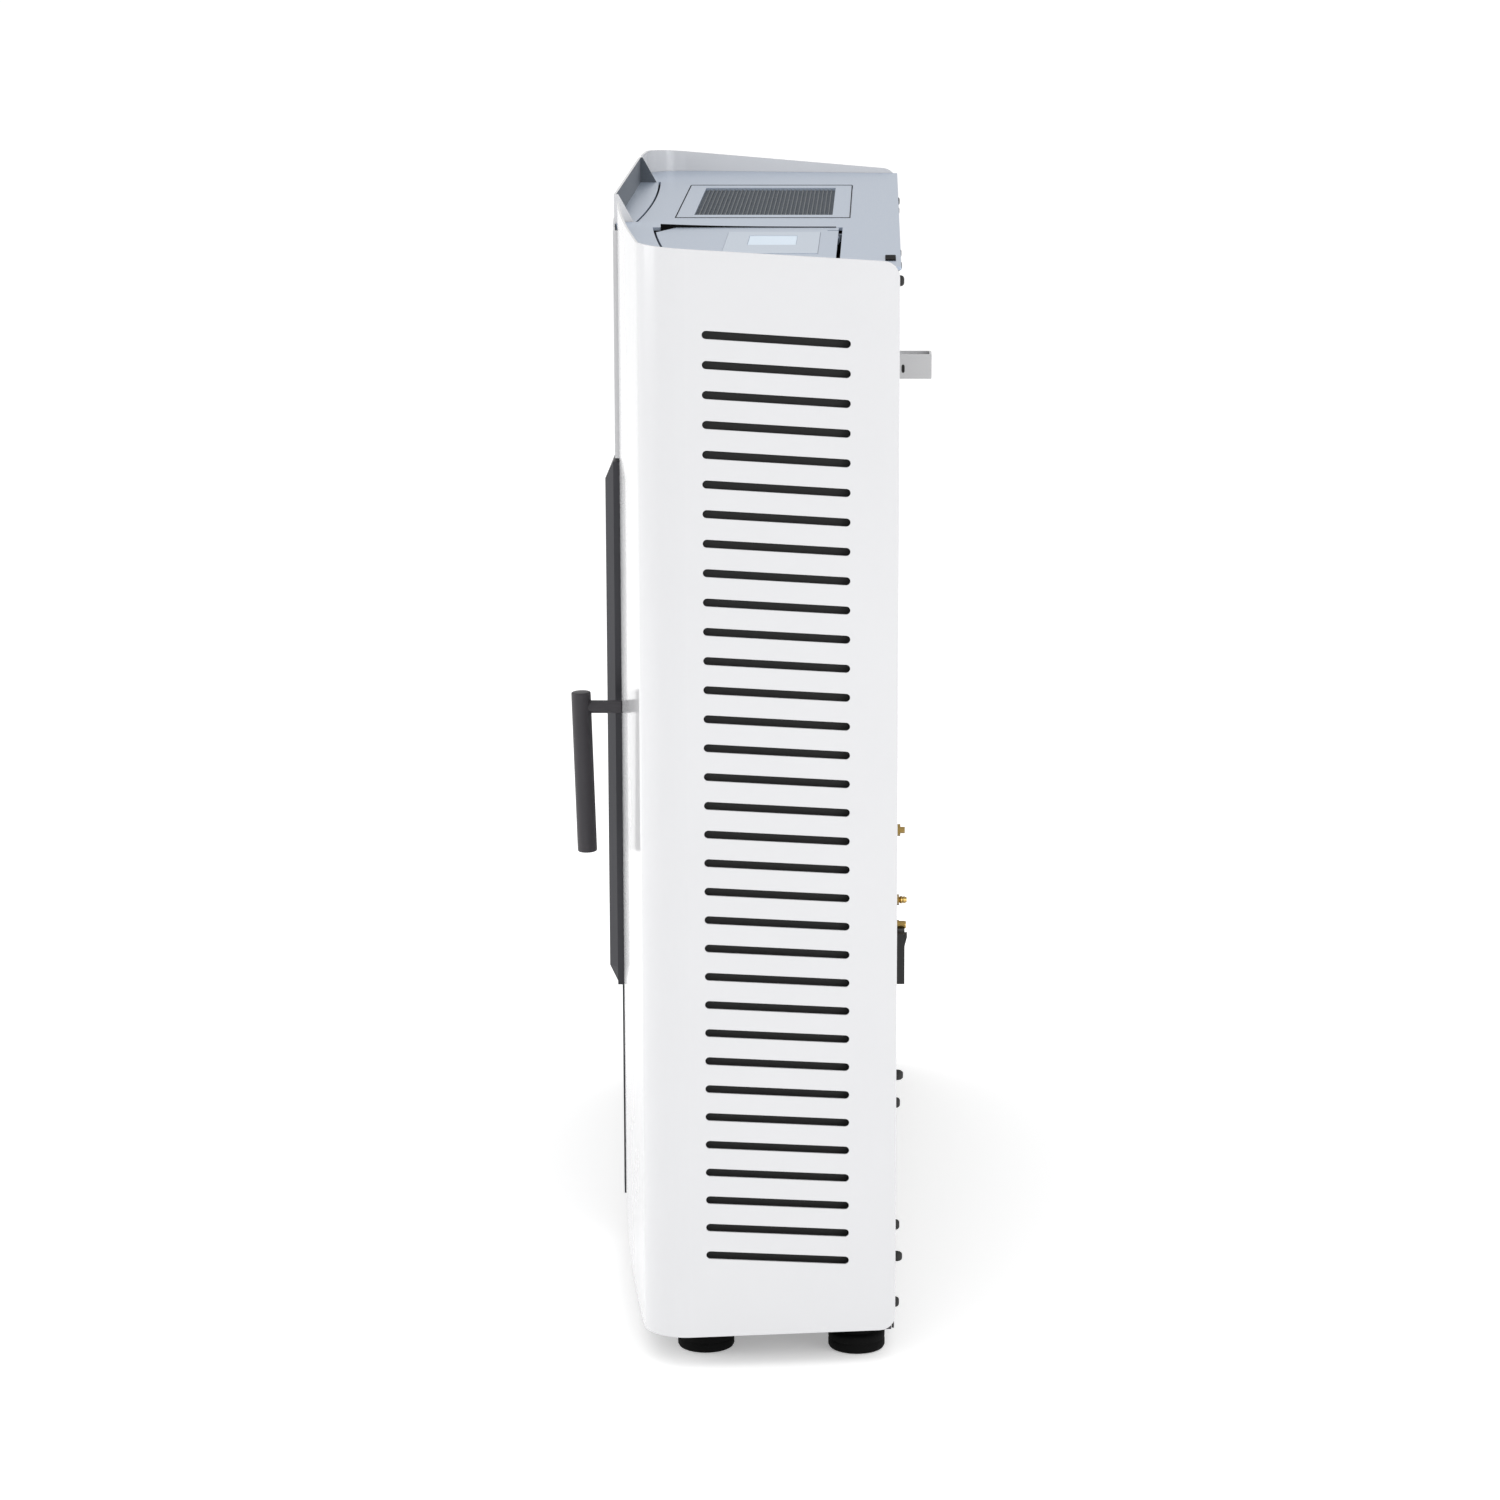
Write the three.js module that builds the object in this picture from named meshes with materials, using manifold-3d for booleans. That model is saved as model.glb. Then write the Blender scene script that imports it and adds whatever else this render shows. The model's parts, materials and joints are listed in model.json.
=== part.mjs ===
// A slim bow-fronted pellet stove: a slotted steel casing round a firebox column on the left
// and a pellet hopper on the right. Millimetres, +Z up, the front faces -Y, +X is to the right
// seen from the front. It is built with the rear edge of the casing at y = 0 and the floor at
// z = 0, and the finished group is moved so that its box stands centred on the origin.

import * as THREE from "three";
import { mergeVertices } from "three/addons/utils/BufferGeometryUtils.js";
import Module from "manifold-3d";

const wasm = await Module();
wasm.setup();

// ---------------------------------------------------------------- driving dimensions

const REAR_HALF_WIDTH = 460;
const SIDE_TAPER = THREE.MathUtils.degToRad(7.8);
const CASING_DEPTH = 266;
const FRONT_RADIUS = 4650;
const FRONT_CREST_X = -200;
const CORNER_RADIUS = 38;
const SHEET = 2;
const GAP = 0.3;

const BASE_Z = 29;
const BASE_HEIGHT = 30;
const PLATE_TOP_Z = 958;
const PLATE_SHEET = 3;
const RIM_RISE_REAR = 4;
const RIM_SLOPE = THREE.MathUtils.degToRad(4.2);
const REAR_CORNER_RADIUS = 13;

const SLOT_COUNT = 33;
const SLOT_PITCH = 25;
const SLOT_LENGTH = 124;
const SLOT_HEIGHT = 6.8;
const SLOT_SLOPE = THREE.MathUtils.degToRad(4.6);
const SLOT_REAR_MARGIN = 41.5;
const FIRST_SLOT_BELOW_PLATE = 63.5;

const COLUMN_CENTRE = -141;
const COLUMN_WIDTH = 518;
const SEAM = 3;

const DOOR_BOTTOM_Z = 245;
const DOOR_HEIGHT = 498;
const DOOR_PROUD = 3;
const DOOR_THICKNESS = 23;
const DOOR_BEVEL_DEPTH = 8;
const DOOR_BEVEL_HEIGHT = 17;
const DOOR_BEVEL_SIDE = 9;
const DOOR_BORDER = 48;
const DOOR_FRONT_Y = -CASING_DEPTH - DOOR_PROUD;
const DOOR_BACK_Y = DOOR_FRONT_Y + DOOR_THICKNESS;
const GLASS_THICKNESS = 4;
const GASKET = 6;
const HINGE_PIN_RADIUS = 3;
const UPPER_PANEL_PROUD = 4;
const DRAWER_FRONT_PROUD = 1.5;
const DRAWER_FRONT_BOTTOM_Z = 39;

const FLAP_WIDTH = 420;
const FLAP_SETBACK = 5;
const FLAP_WALL_Y = -CASING_DEPTH + FLAP_SETBACK;
const FLAP_FLOOR_DEPTH = 20;
const FLAP_BULGE = 5;
const FLAP_WALL_HEIGHT = 25;

const GRILLE_WIDTH = 344;
const GRILLE_DEPTH = 161;
const GRILLE_REAR_Y = -45;
const GRILLE_BORDER_SIDE = 29;
const GRILLE_BORDER_FRONT = 16;
const MESH_COLUMNS = 14;
const MESH_ROWS = 7;

const LID_REAR_Y = -54;
const LID_FRONT_INSET = 34;
const LID_SIDE_INSET = 16;
const LID_GAP = 2;
const LID_HINGE_GAP = 3.5;
const DISPLAY_WIDTH = 186;
const DISPLAY_DEPTH = 82;
const SCREEN_WIDTH = 80;
const SCREEN_DEPTH = 42;

const HANDLE_OFFSET = 33;
const HANDLE_PIVOT_Z = 520;
const HANDLE_BAR_RADIUS = 9;
const HANDLE_BAR_LENGTH = 151;
const HANDLE_ABOVE_PIVOT = 14;
const HANDLE_REACH = 37.5;
const HANDLE_LEAN = THREE.MathUtils.degToRad(1.7);
const SPINDLE_RADIUS = 6;

const FOOT_RADIUS = 25;
const FOOT_X = 421;
const FOOT_Y = [-167, -34];
const STUD_RADIUS = 5;

const FIREBOX_WALL = 3;
const FIREBOX_MARGIN = 8;
const FIREBOX_BACK_Y = -74;
const AUGER_Y = -135;
const AUGER_Z = 494;
const AUGER_RADIUS = 22;
const AUGER_PITCH = 40;
const TUBE_WALL = 2;
const HOPPER_SHEET = 1.5;
const HOPPER_FRONT_CLEARANCE = 13;
const HOPPER_KNEE_Z = 664;
const FLUE_RADIUS = 40;
const AIR_PIPE_RADIUS = 25;
const REAR_PIPE_Z = 186;
const REAR_PIPE_END_Y = -0.4;

const BRACKET_REACH = 32;
const BRACKET_WIDTH = 28;
const BRACKET_HEIGHT = 23;
const BRACKET_Z = 806;
const INLET_X = 300;
const INLET_Z = 302;
const INLET_WIDTH = 30;
const INLET_HEIGHT = 46;
const INLET_PROUD = 8;

// ---------------------------------------------------------------- solids

// A closed manifold made from any closed three.js geometry.
function solid(geometry) {
  const bare = geometry.clone();
  bare.deleteAttribute("normal");
  bare.deleteAttribute("uv");
  const merged = mergeVertices(bare, 1e-3);
  const corners = merged.index.array;
  const kept = [];
  for (let i = 0; i < corners.length; i += 3) {
    const [a, b, c] = [corners[i], corners[i + 1], corners[i + 2]];
    if (a !== b && b !== c && c !== a) kept.push(a, b, c);
  }
  return new wasm.Manifold(
    new wasm.Mesh({
      numProp: 3,
      vertProperties: new Float32Array(merged.attributes.position.array),
      triVerts: new Uint32Array(kept),
    }),
  );
}

const join = (first, ...others) => others.reduce((sum, next) => sum.add(next), first);
const cut = (first, ...tools) => tools.reduce((rest, tool) => rest.subtract(tool), first);

function box(x0, x1, y0, y1, z0, z1) {
  const geometry = new THREE.BoxGeometry(x1 - x0, y1 - y0, z1 - z0);
  return solid(geometry.translate((x0 + x1) / 2, (y0 + y1) / 2, (z0 + z1) / 2));
}

// Extrudes an outline and turns its own axes (right, up, out) to the given ones.
function extruded(points, depth, right, up, out, start, curveSegments = 6) {
  const shape = points instanceof THREE.Shape ? points : new THREE.Shape(points);
  const geometry = new THREE.ExtrudeGeometry(shape, { depth, bevelEnabled: false, curveSegments });
  const place = new THREE.Matrix4().makeBasis(right, up, out);
  return solid(geometry.applyMatrix4(place).translate(start.x, start.y, start.z));
}

const X = new THREE.Vector3(1, 0, 0);
const Y = new THREE.Vector3(0, 1, 0);
const Z = new THREE.Vector3(0, 0, 1);

// A plan outline (x, y) raised from z0 to z1.
const raised = (points, z0, z1) => extruded(points, z1 - z0, X, Y, Z, Z.clone().multiplyScalar(z0));

// A side outline (y, z) stretched from x0 to x1.
const stretched = (points, x0, x1) => extruded(points, x1 - x0, Y, Z, X, X.clone().multiplyScalar(x0));

// A front outline (x, z) pushed from the rear plane y1 forward to y0.
function pushed(points, y0, y1, curveSegments) {
  const forward = Y.clone().negate();
  return extruded(points, y1 - y0, X, Z, forward, Y.clone().multiplyScalar(y1), curveSegments);
}

const TURNS = {
  x: new THREE.Euler(0, 0, -Math.PI / 2),
  y: new THREE.Euler(0, 0, 0),
  z: new THREE.Euler(Math.PI / 2, 0, 0),
};

// A solid of revolution along an axis; the profile lists (radius, height) from the low end up.
function turned(profile, axis, x, y, z, segments = 24) {
  const points = profile.map(([radius, height]) => new THREE.Vector2(radius, height));
  const geometry = new THREE.LatheGeometry(points, segments);
  geometry.applyMatrix4(new THREE.Matrix4().makeRotationFromEuler(TURNS[axis]));
  return solid(geometry.translate(x, y, z));
}

const rod = (axis, radius, length, x, y, z, segments = 24) =>
  turned([[0, 0], [radius, 0], [radius, length], [0, length]], axis, x, y, z, segments);

const ring = (axis, outer, inner, length, x, y, z, segments = 24) =>
  turned(
    [[inner, 0], [outer, 0], [outer, length], [inner, length], [inner, 0]],
    axis, x, y, z, segments,
  );

// A block with eight free corners: a lower and an upper rectangle [x0, x1, y0, y1] at two heights.
function frustum(low, z0, high, z1) {
  const corners = ([x0, x1, y0, y1], z) => [[x0, y0, z], [x1, y0, z], [x1, y1, z], [x0, y1, z]];
  const points = [...corners(low, z0), ...corners(high, z1)].flat();
  const faces = [0, 2, 1, 0, 3, 2, 4, 5, 6, 4, 6, 7];
  for (let side = 0; side < 4; side += 1) {
    const next = (side + 1) % 4;
    faces.push(side, next, next + 4, side, next + 4, side + 4);
  }
  const geometry = new THREE.BufferGeometry();
  geometry.setAttribute("position", new THREE.Float32BufferAttribute(points, 3));
  geometry.setIndex(faces);
  return solid(geometry);
}

// A slab over a grid of x and z lines, whose front and back faces are given as y at each crossing.
function slab(xs, zs, frontAt, backAt) {
  const points = [];
  for (const faceAt of [frontAt, backAt]) {
    for (const z of zs) for (const x of xs) points.push(x, faceAt(x, z), z);
  }
  const columns = xs.length;
  const rows = zs.length;
  const back = columns * rows;
  const at = (row, column) => row * columns + column;
  const faces = [];
  const quad = (a, b, c, d) => faces.push(a, b, c, a, c, d);
  for (let row = 0; row + 1 < rows; row += 1) {
    for (let column = 0; column + 1 < columns; column += 1) {
      const [a, b] = [at(row, column), at(row, column + 1)];
      const [c, d] = [at(row + 1, column + 1), at(row + 1, column)];
      quad(a, b, c, d);
      quad(back + a, back + d, back + c, back + b);
    }
    const [left, leftUp] = [at(row, 0), at(row + 1, 0)];
    const [right, rightUp] = [at(row, columns - 1), at(row + 1, columns - 1)];
    quad(left, leftUp, back + leftUp, back + left);
    quad(right, back + right, back + rightUp, rightUp);
  }
  for (let column = 0; column + 1 < columns; column += 1) {
    const [low, lowNext] = [at(0, column), at(0, column + 1)];
    const [high, highNext] = [at(rows - 1, column), at(rows - 1, column + 1)];
    quad(low, back + low, back + lowNext, lowNext);
    quad(high, highNext, back + highNext, back + high);
  }
  const geometry = new THREE.BufferGeometry();
  geometry.setAttribute("position", new THREE.Float32BufferAttribute(points, 3));
  geometry.setIndex(faces);
  return solid(geometry);
}

// A capsule outline between two ends, as a Shape.
function capsule(ax, ay, bx, by, radius, steps = 4) {
  const along = Math.atan2(by - ay, bx - ax);
  const points = [];
  for (let i = 0; i <= steps; i += 1) {
    const turn = along - Math.PI / 2 + (Math.PI * i) / steps;
    points.push(new THREE.Vector2(bx + radius * Math.cos(turn), by + radius * Math.sin(turn)));
  }
  for (let i = 0; i <= steps; i += 1) {
    const turn = along + Math.PI / 2 + (Math.PI * i) / steps;
    points.push(new THREE.Vector2(ax + radius * Math.cos(turn), ay + radius * Math.sin(turn)));
  }
  return points;
}

const outline = (pairs) => pairs.map(([a, b]) => new THREE.Vector2(a, b));
const spaced = (from, to, steps) =>
  Array.from({ length: steps + 1 }, (_, i) => from + ((to - from) * i) / steps);

// ---------------------------------------------------------------- materials and the group

const FINISHES = {
  whiteLacquer: [0xe8e8ec, 0.3, 0.05],
  plateMetal: [0x9fb0bf, 0.42, 0.6],
  darkPaint: [0x45454c, 0.5, 0.3],
  blackSteel: [0x232327, 0.6, 0.4],
  handleMetal: [0x3e3c40, 0.45, 0.6],
  rubber: [0x141414, 0.9, 0],
  galvanised: [0x9a9fa3, 0.45, 0.8],
  castIron: [0x35332f, 0.75, 0.5],
  firebrick: [0xb9a98c, 0.95, 0],
  glass: [0x1a1d22, 0.08, 0],
  gasket: [0x3a3a38, 1, 0],
  meshWire: [0x5a636b, 0.5, 0.7],
  display: [0xaebccb, 0.25, 0.1],
  screen: [0xd6ecff, 0.2, 0],
  brass: [0xb08d3c, 0.35, 0.9],
  blackPlastic: [0x16171a, 0.5, 0],
  motor: [0x70757a, 0.5, 0.7],
  board: [0x1f5b3a, 0.6, 0],
};

const stove = new THREE.Group();

function part(name, finish, body) {
  const mesh = body.getMesh();
  const positions = new Float32Array(mesh.numVert * 3);
  for (let i = 0; i < mesh.numVert; i += 1) {
    positions.set(mesh.vertProperties.subarray(i * mesh.numProp, i * mesh.numProp + 3), i * 3);
  }
  const geometry = new THREE.BufferGeometry();
  geometry.setAttribute("position", new THREE.BufferAttribute(positions, 3));
  geometry.setIndex(new THREE.BufferAttribute(new Uint32Array(mesh.triVerts), 1));
  geometry.computeVertexNormals();
  const [color, roughness, metalness] = FINISHES[finish];
  const material = new THREE.MeshStandardMaterial({ color, roughness, metalness });
  const made = new THREE.Mesh(geometry, material);
  made.name = name;
  stove.add(made);
  return made;
}

// ---------------------------------------------------------------- the casing's plan

const FRONT_CENTRE = new THREE.Vector2(FRONT_CREST_X, FRONT_RADIUS - CASING_DEPTH);

// The y of the front bow at x, moved inwards by inset (outwards where inset is negative).
function frontY(x, inset = 0) {
  const radius = FRONT_RADIUS - inset;
  return FRONT_CENTRE.y - Math.sqrt(radius * radius - (x - FRONT_CENTRE.x) ** 2);
}

// The |x| of a side wall at y, moved inwards by inset.
const sideX = (y, inset = 0) =>
  REAR_HALF_WIDTH - y * Math.tan(SIDE_TAPER) - inset / Math.cos(SIDE_TAPER);

// The centre of the rounded front corner on one side (+1 right, -1 left).
function cornerCentre(side) {
  const along = new THREE.Vector2(side * Math.sin(SIDE_TAPER), -Math.cos(SIDE_TAPER));
  const out = new THREE.Vector2(side * Math.cos(SIDE_TAPER), Math.sin(SIDE_TAPER));
  const start = new THREE.Vector2(side * REAR_HALF_WIDTH, 0).addScaledVector(out, -CORNER_RADIUS);
  const from = start.clone().sub(FRONT_CENTRE);
  const b = from.dot(along);
  const c = from.lengthSq() - (FRONT_RADIUS - CORNER_RADIUS) ** 2;
  return { centre: start.addScaledVector(along, -b + Math.sqrt(b * b - c)), out };
}

// Plan points of one casing wall from its rear edge, round the corner and along the bow to endX.
function wallPath(side, inset, endX, rearY = 0) {
  const { centre, out } = cornerCentre(side);
  const radius = CORNER_RADIUS - inset;
  const bow = centre.clone().sub(FRONT_CENTRE).normalize();
  const from = out.angle();
  const sweep = -side * Math.acos(out.dot(bow));
  const points = [new THREE.Vector2(side * sideX(rearY, inset), rearY)];
  const steps = 8;
  for (let i = 0; i <= steps; i += 1) {
    const turn = from + (sweep * i) / steps;
    points.push(new THREE.Vector2(Math.cos(turn), Math.sin(turn)).multiplyScalar(radius).add(centre));
  }
  const startX = points[points.length - 1].x;
  const runs = Math.max(2, Math.round(Math.abs(endX - startX) / 60));
  for (const x of spaced(startX, endX, runs).slice(1)) {
    points.push(new THREE.Vector2(x, frontY(x, inset)));
  }
  return points;
}

// A closed plan outline of the whole casing, moved inwards by inset, with a straight rear edge.
function casingOutline(inset, rearY) {
  const right = wallPath(1, inset, FRONT_CREST_X, rearY);
  const left = wallPath(-1, inset, FRONT_CREST_X, rearY).reverse();
  return [...right, ...left.slice(1)];
}

// The height of the sloping upper rim of the casing at y.
const rimZ = (y) => PLATE_TOP_Z + RIM_RISE_REAR - y * Math.tan(RIM_SLOPE);

const SIDES = [
  ["left", -1],
  ["right", 1],
];
const COLUMN_LEFT = COLUMN_CENTRE - COLUMN_WIDTH / 2;
const COLUMN_RIGHT = COLUMN_CENTRE + COLUMN_WIDTH / 2;
const HANDLE_X = COLUMN_RIGHT + HANDLE_OFFSET;
const FIREBOX_FRONT_Y = DOOR_BACK_Y + GASKET;
const PLATE_UNDER_Z = PLATE_TOP_Z - PLATE_SHEET;
const BASE_TOP_Z = BASE_Z + BASE_HEIGHT;
const REAR_PANEL_Y = -1;
const REAR_PANEL_FRONT_Y = REAR_PANEL_Y - SHEET;
const PLATE_REAR_Y = 1;
const FAR = 2 * REAR_HALF_WIDTH;

// Everything above the sloping rim, to cut the casing's sheets with.
const aboveRim = stretched(
  outline([
    [FAR, rimZ(FAR)],
    [FAR, rimZ(-FAR) + FAR],
    [-FAR, rimZ(-FAR) + FAR],
    [-FAR, rimZ(-FAR)],
  ]),
  -FAR,
  FAR,
);

// ---------------------------------------------------------------- base and feet

const FEET = SIDES.flatMap(([side, sign]) =>
  [["front", 0], ["rear", 1]].map(([end, row]) => [end + "_" + side, sign * FOOT_X, FOOT_Y[row]]),
);

function baseFrame() {
  const inset = SHEET + GAP;
  const rearY = REAR_PANEL_FRONT_Y - GAP;
  const tray = raised(casingOutline(inset, rearY), BASE_Z, BASE_TOP_Z);
  const pocket = raised(casingOutline(inset + SHEET, rearY - SHEET), BASE_Z + SHEET, BASE_TOP_Z + 1);
  const holes = FEET.map(([, x, y]) => rod("z", STUD_RADIUS + GAP, SHEET + 2, x, y, BASE_Z - 1, 16));
  const drawerGap = box(
    COLUMN_LEFT, COLUMN_RIGHT, -2 * CASING_DEPTH, DOOR_BACK_Y,
    DRAWER_FRONT_BOTTOM_Z - SHEET, BASE_TOP_Z + 1,
  );
  return cut(tray, pocket, drawerGap, ...holes);
}
part("base_frame", "darkPaint", baseFrame());

// A rubber levelling foot with its threaded stud moulded in.
function foot(x, y) {
  const padTop = BASE_Z - 8;
  const neck = 11;
  return turned(
    [
      [0, 0],
      [FOOT_RADIUS - 2, 0],
      [FOOT_RADIUS, 2],
      [FOOT_RADIUS, padTop - 4],
      [FOOT_RADIUS - 5, padTop],
      [neck, padTop],
      [neck, BASE_Z - GAP],
      [STUD_RADIUS, BASE_Z - GAP],
      [STUD_RADIUS, BASE_TOP_Z - 8],
      [0, BASE_TOP_Z - 8],
    ],
    "z", x, y, 0,
  );
}
for (const [place, x, y] of FEET) part("foot_" + place, "rubber", foot(x, y));

// ---------------------------------------------------------------- rear panel and its screws

const SCREW_HEAD_RADIUS = 4.5;
const SCREW_SHANK_RADIUS = 2;
const SCREW_X = REAR_HALF_WIDTH - 14;
const SCREWS = [
  [SCREW_X, BASE_Z + 63],
  [SCREW_X, BASE_Z + 228],
  [SCREW_X, PLATE_TOP_Z - 13],
  [-SCREW_X, PLATE_TOP_Z - 28],
];
const FLUE_X = 250;
const AIR_PIPE_X = COLUMN_CENTRE - 100;

const screwHoles = () =>
  SCREWS.map(([x, z]) => rod("y", SCREW_SHANK_RADIUS + GAP, 20, x, -12, z, 12));

function rearPanel() {
  const width = REAR_HALF_WIDTH - SHEET - GAP;
  const inletHalf = INLET_WIDTH / 2 - 1.5;
  return cut(
    box(-width, width, REAR_PANEL_FRONT_Y, REAR_PANEL_Y, BASE_Z + 1, PLATE_UNDER_Z - GAP),
    rod("y", FLUE_RADIUS + 1, 20, FLUE_X, -12, REAR_PIPE_Z, 32),
    rod("y", AIR_PIPE_RADIUS + 1, 20, AIR_PIPE_X, -12, REAR_PIPE_Z, 24),
    box(INLET_X - inletHalf, INLET_X + inletHalf, -12, 8, INLET_Z + 2, INLET_Z + INLET_HEIGHT - 2),
    ...screwHoles(),
  );
}
part("rear_panel", "blackSteel", rearPanel());

SCREWS.forEach(([x, z], i) => {
  const headY = REAR_PANEL_Y + GAP;
  const profile = [
    [0, headY - 9],
    [SCREW_SHANK_RADIUS, headY - 9],
    [SCREW_SHANK_RADIUS, headY],
    [SCREW_HEAD_RADIUS, headY],
    [SCREW_HEAD_RADIUS, headY + 2.5],
    [SCREW_HEAD_RADIUS - 1.5, headY + 4.5],
    [0, headY + 4.5],
  ];
  part("rear_screw_" + (i + 1), "blackSteel", turned(profile, "y", x, 0, z, 12));
});

// ---------------------------------------------------------------- slotted side panels

// The slots of one side panel: level with each other, each rising a little towards the front.
function slotTools(sign) {
  const radius = SLOT_HEIGHT / 2;
  const run = SLOT_LENGTH - SLOT_HEIGHT;
  const rearY = -(SLOT_REAR_MARGIN + radius) * Math.cos(SIDE_TAPER);
  const frontEndY = rearY - run * Math.cos(SLOT_SLOPE) * Math.cos(SIDE_TAPER);
  const rise = run * Math.sin(SLOT_SLOPE);
  const inner = Math.min(sign * (REAR_HALF_WIDTH - 30), sign * FAR);
  const outer = Math.max(sign * (REAR_HALF_WIDTH - 30), sign * FAR);
  return Array.from({ length: SLOT_COUNT }, (_, i) => {
    const z = PLATE_TOP_Z - FIRST_SLOT_BELOW_PLATE - i * SLOT_PITCH;
    return stretched(capsule(rearY, z, frontEndY, z + rise, radius, 3), inner, outer);
  });
}

// What a rounded corner leaves of a square one at (0, z); up is +1 for the upper corner.
function cornerBite(z, up) {
  const radius = REAR_CORNER_RADIUS;
  const points = [[1, z - up * radius], [1, z + up * radius], [-radius, z + up * radius]];
  for (const turn of spaced(Math.PI / 2, 0, 6)) {
    points.push([-radius + radius * Math.cos(turn), z + up * radius * (Math.sin(turn) - 1)]);
  }
  return stretched(outline(points), -FAR, FAR);
}

function sidePanel(sign) {
  const endX = sign > 0 ? COLUMN_RIGHT + SEAM / 2 : COLUMN_LEFT - SEAM / 2;
  const sheet = [...wallPath(sign, 0, endX), ...wallPath(sign, SHEET, endX).reverse()];
  const topZ = rimZ(2 * DOOR_FRONT_Y);
  const flangeY = REAR_PANEL_FRONT_Y - GAP;
  const flangeOuter = sign * sideX(flangeY, 1);
  const flangeInner = sign * (REAR_HALF_WIDTH - 24);
  const flange = box(
    Math.min(flangeInner, flangeOuter), Math.max(flangeInner, flangeOuter),
    flangeY - SHEET, flangeY, BASE_TOP_Z + 1, PLATE_UNDER_Z - 10,
  );
  const tools = [
    aboveRim,
    cornerBite(rimZ(0), 1),
    cornerBite(BASE_Z, -1),
    ...slotTools(sign),
    ...screwHoles(),
  ];
  if (sign > 0) {
    tools.push(rod("y", SPINDLE_RADIUS + 1, 40, HANDLE_X, frontY(HANDLE_X) - 20, HANDLE_PIVOT_Z));
  }
  return cut(join(raised(sheet, BASE_Z, topZ), flange), ...tools);
}
for (const [side, sign] of SIDES) part("side_panel_" + side, "whiteLacquer", sidePanel(sign));

// ---------------------------------------------------------------- lid and display places

const LID_LEFT = COLUMN_RIGHT + 6.5;
const LID_NOTCH_DEPTH = 20;
const LID_NOTCH_WIDTH = 42;
const LID_PIVOT_Y = LID_REAR_Y - 3;
const LID_PIVOT_Z = PLATE_UNDER_Z - 2;
const LID_PIN_RADIUS = 2;
const LID_KNUCKLES = [LID_LEFT + 56, LID_LEFT + 270];
const LID_PIN_X = [LID_LEFT + 26, LID_LEFT + 306];
const DISPLAY_X = LID_LEFT + 136.5;
const DISPLAY_Y = LID_REAR_Y - 57;
const SCREEN_X = DISPLAY_X - 18.5;

// The lid's outline, grown sideways by grow and rearwards by rearGrow.
function lidOutline(grow, rearGrow) {
  const left = LID_LEFT - grow;
  const rearY = LID_REAR_Y + rearGrow;
  const frontInset = LID_FRONT_INSET - grow;
  const sideInset = LID_SIDE_INSET - grow;
  let cornerX = sideX(-CASING_DEPTH, sideInset);
  for (let i = 0; i < 4; i += 1) cornerX = sideX(frontY(cornerX, frontInset), sideInset);
  const front = spaced(left, cornerX, 8).map((x) => [x, frontY(x, frontInset)]);
  return outline([...front, [sideX(rearY, sideInset), rearY], [left, rearY]]);
}

// ---------------------------------------------------------------- top plate

const FLAP_HALF = FLAP_WIDTH / 2;
const FLAP_PIVOT_Y = FLAP_WALL_Y + 6;
const FLAP_LIP_INSET = 1 - UPPER_PANEL_PROUD + SHEET;
const FLAP_PIVOT_Z = PLATE_TOP_Z - 5.5;
const FLAP_PIN_RADIUS = 2;
const FLAP_EAR = 3;

// The curved rear edge of the flap's floor, as plan points from left to right.
function flapRear(margin) {
  const half = FLAP_HALF + margin;
  const straight = FLAP_WALL_Y + FLAP_FLOOR_DEPTH + margin;
  return spaced(-1, 1, 12).map((t) => [COLUMN_CENTRE + t * half, straight + FLAP_BULGE * (1 - t * t)]);
}

function plateEars() {
  const ears = [];
  for (const sign of [-1, 1]) {
    const near = COLUMN_CENTRE + sign * (FLAP_HALF + 2.5);
    const far = near + sign * FLAP_EAR;
    const [y0, y1] = [FLAP_PIVOT_Y - 4, FLAP_PIVOT_Y + 5];
    ears.push(box(Math.min(near, far), Math.max(near, far), y0, y1, FLAP_PIVOT_Z - 5, PLATE_TOP_Z - 1));
  }
  for (const x of LID_PIN_X) {
    const [x0, x1] = [x - 1.5, x + 1.5];
    const edge = LID_REAR_Y + LID_HINGE_GAP;
    ears.push(box(x0, x1, LID_PIVOT_Y - 4, edge + 4, LID_PIVOT_Z - 5, PLATE_UNDER_Z - GAP));
    ears.push(box(x0, x1, edge + 0.5, edge + 4, LID_PIVOT_Z, PLATE_UNDER_Z + 1));
  }
  return ears;
}

const GRILLE = {
  x0: COLUMN_CENTRE - GRILLE_WIDTH / 2,
  x1: COLUMN_CENTRE + GRILLE_WIDTH / 2,
  y0: GRILLE_REAR_Y - GRILLE_DEPTH,
  y1: GRILLE_REAR_Y,
};

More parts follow.
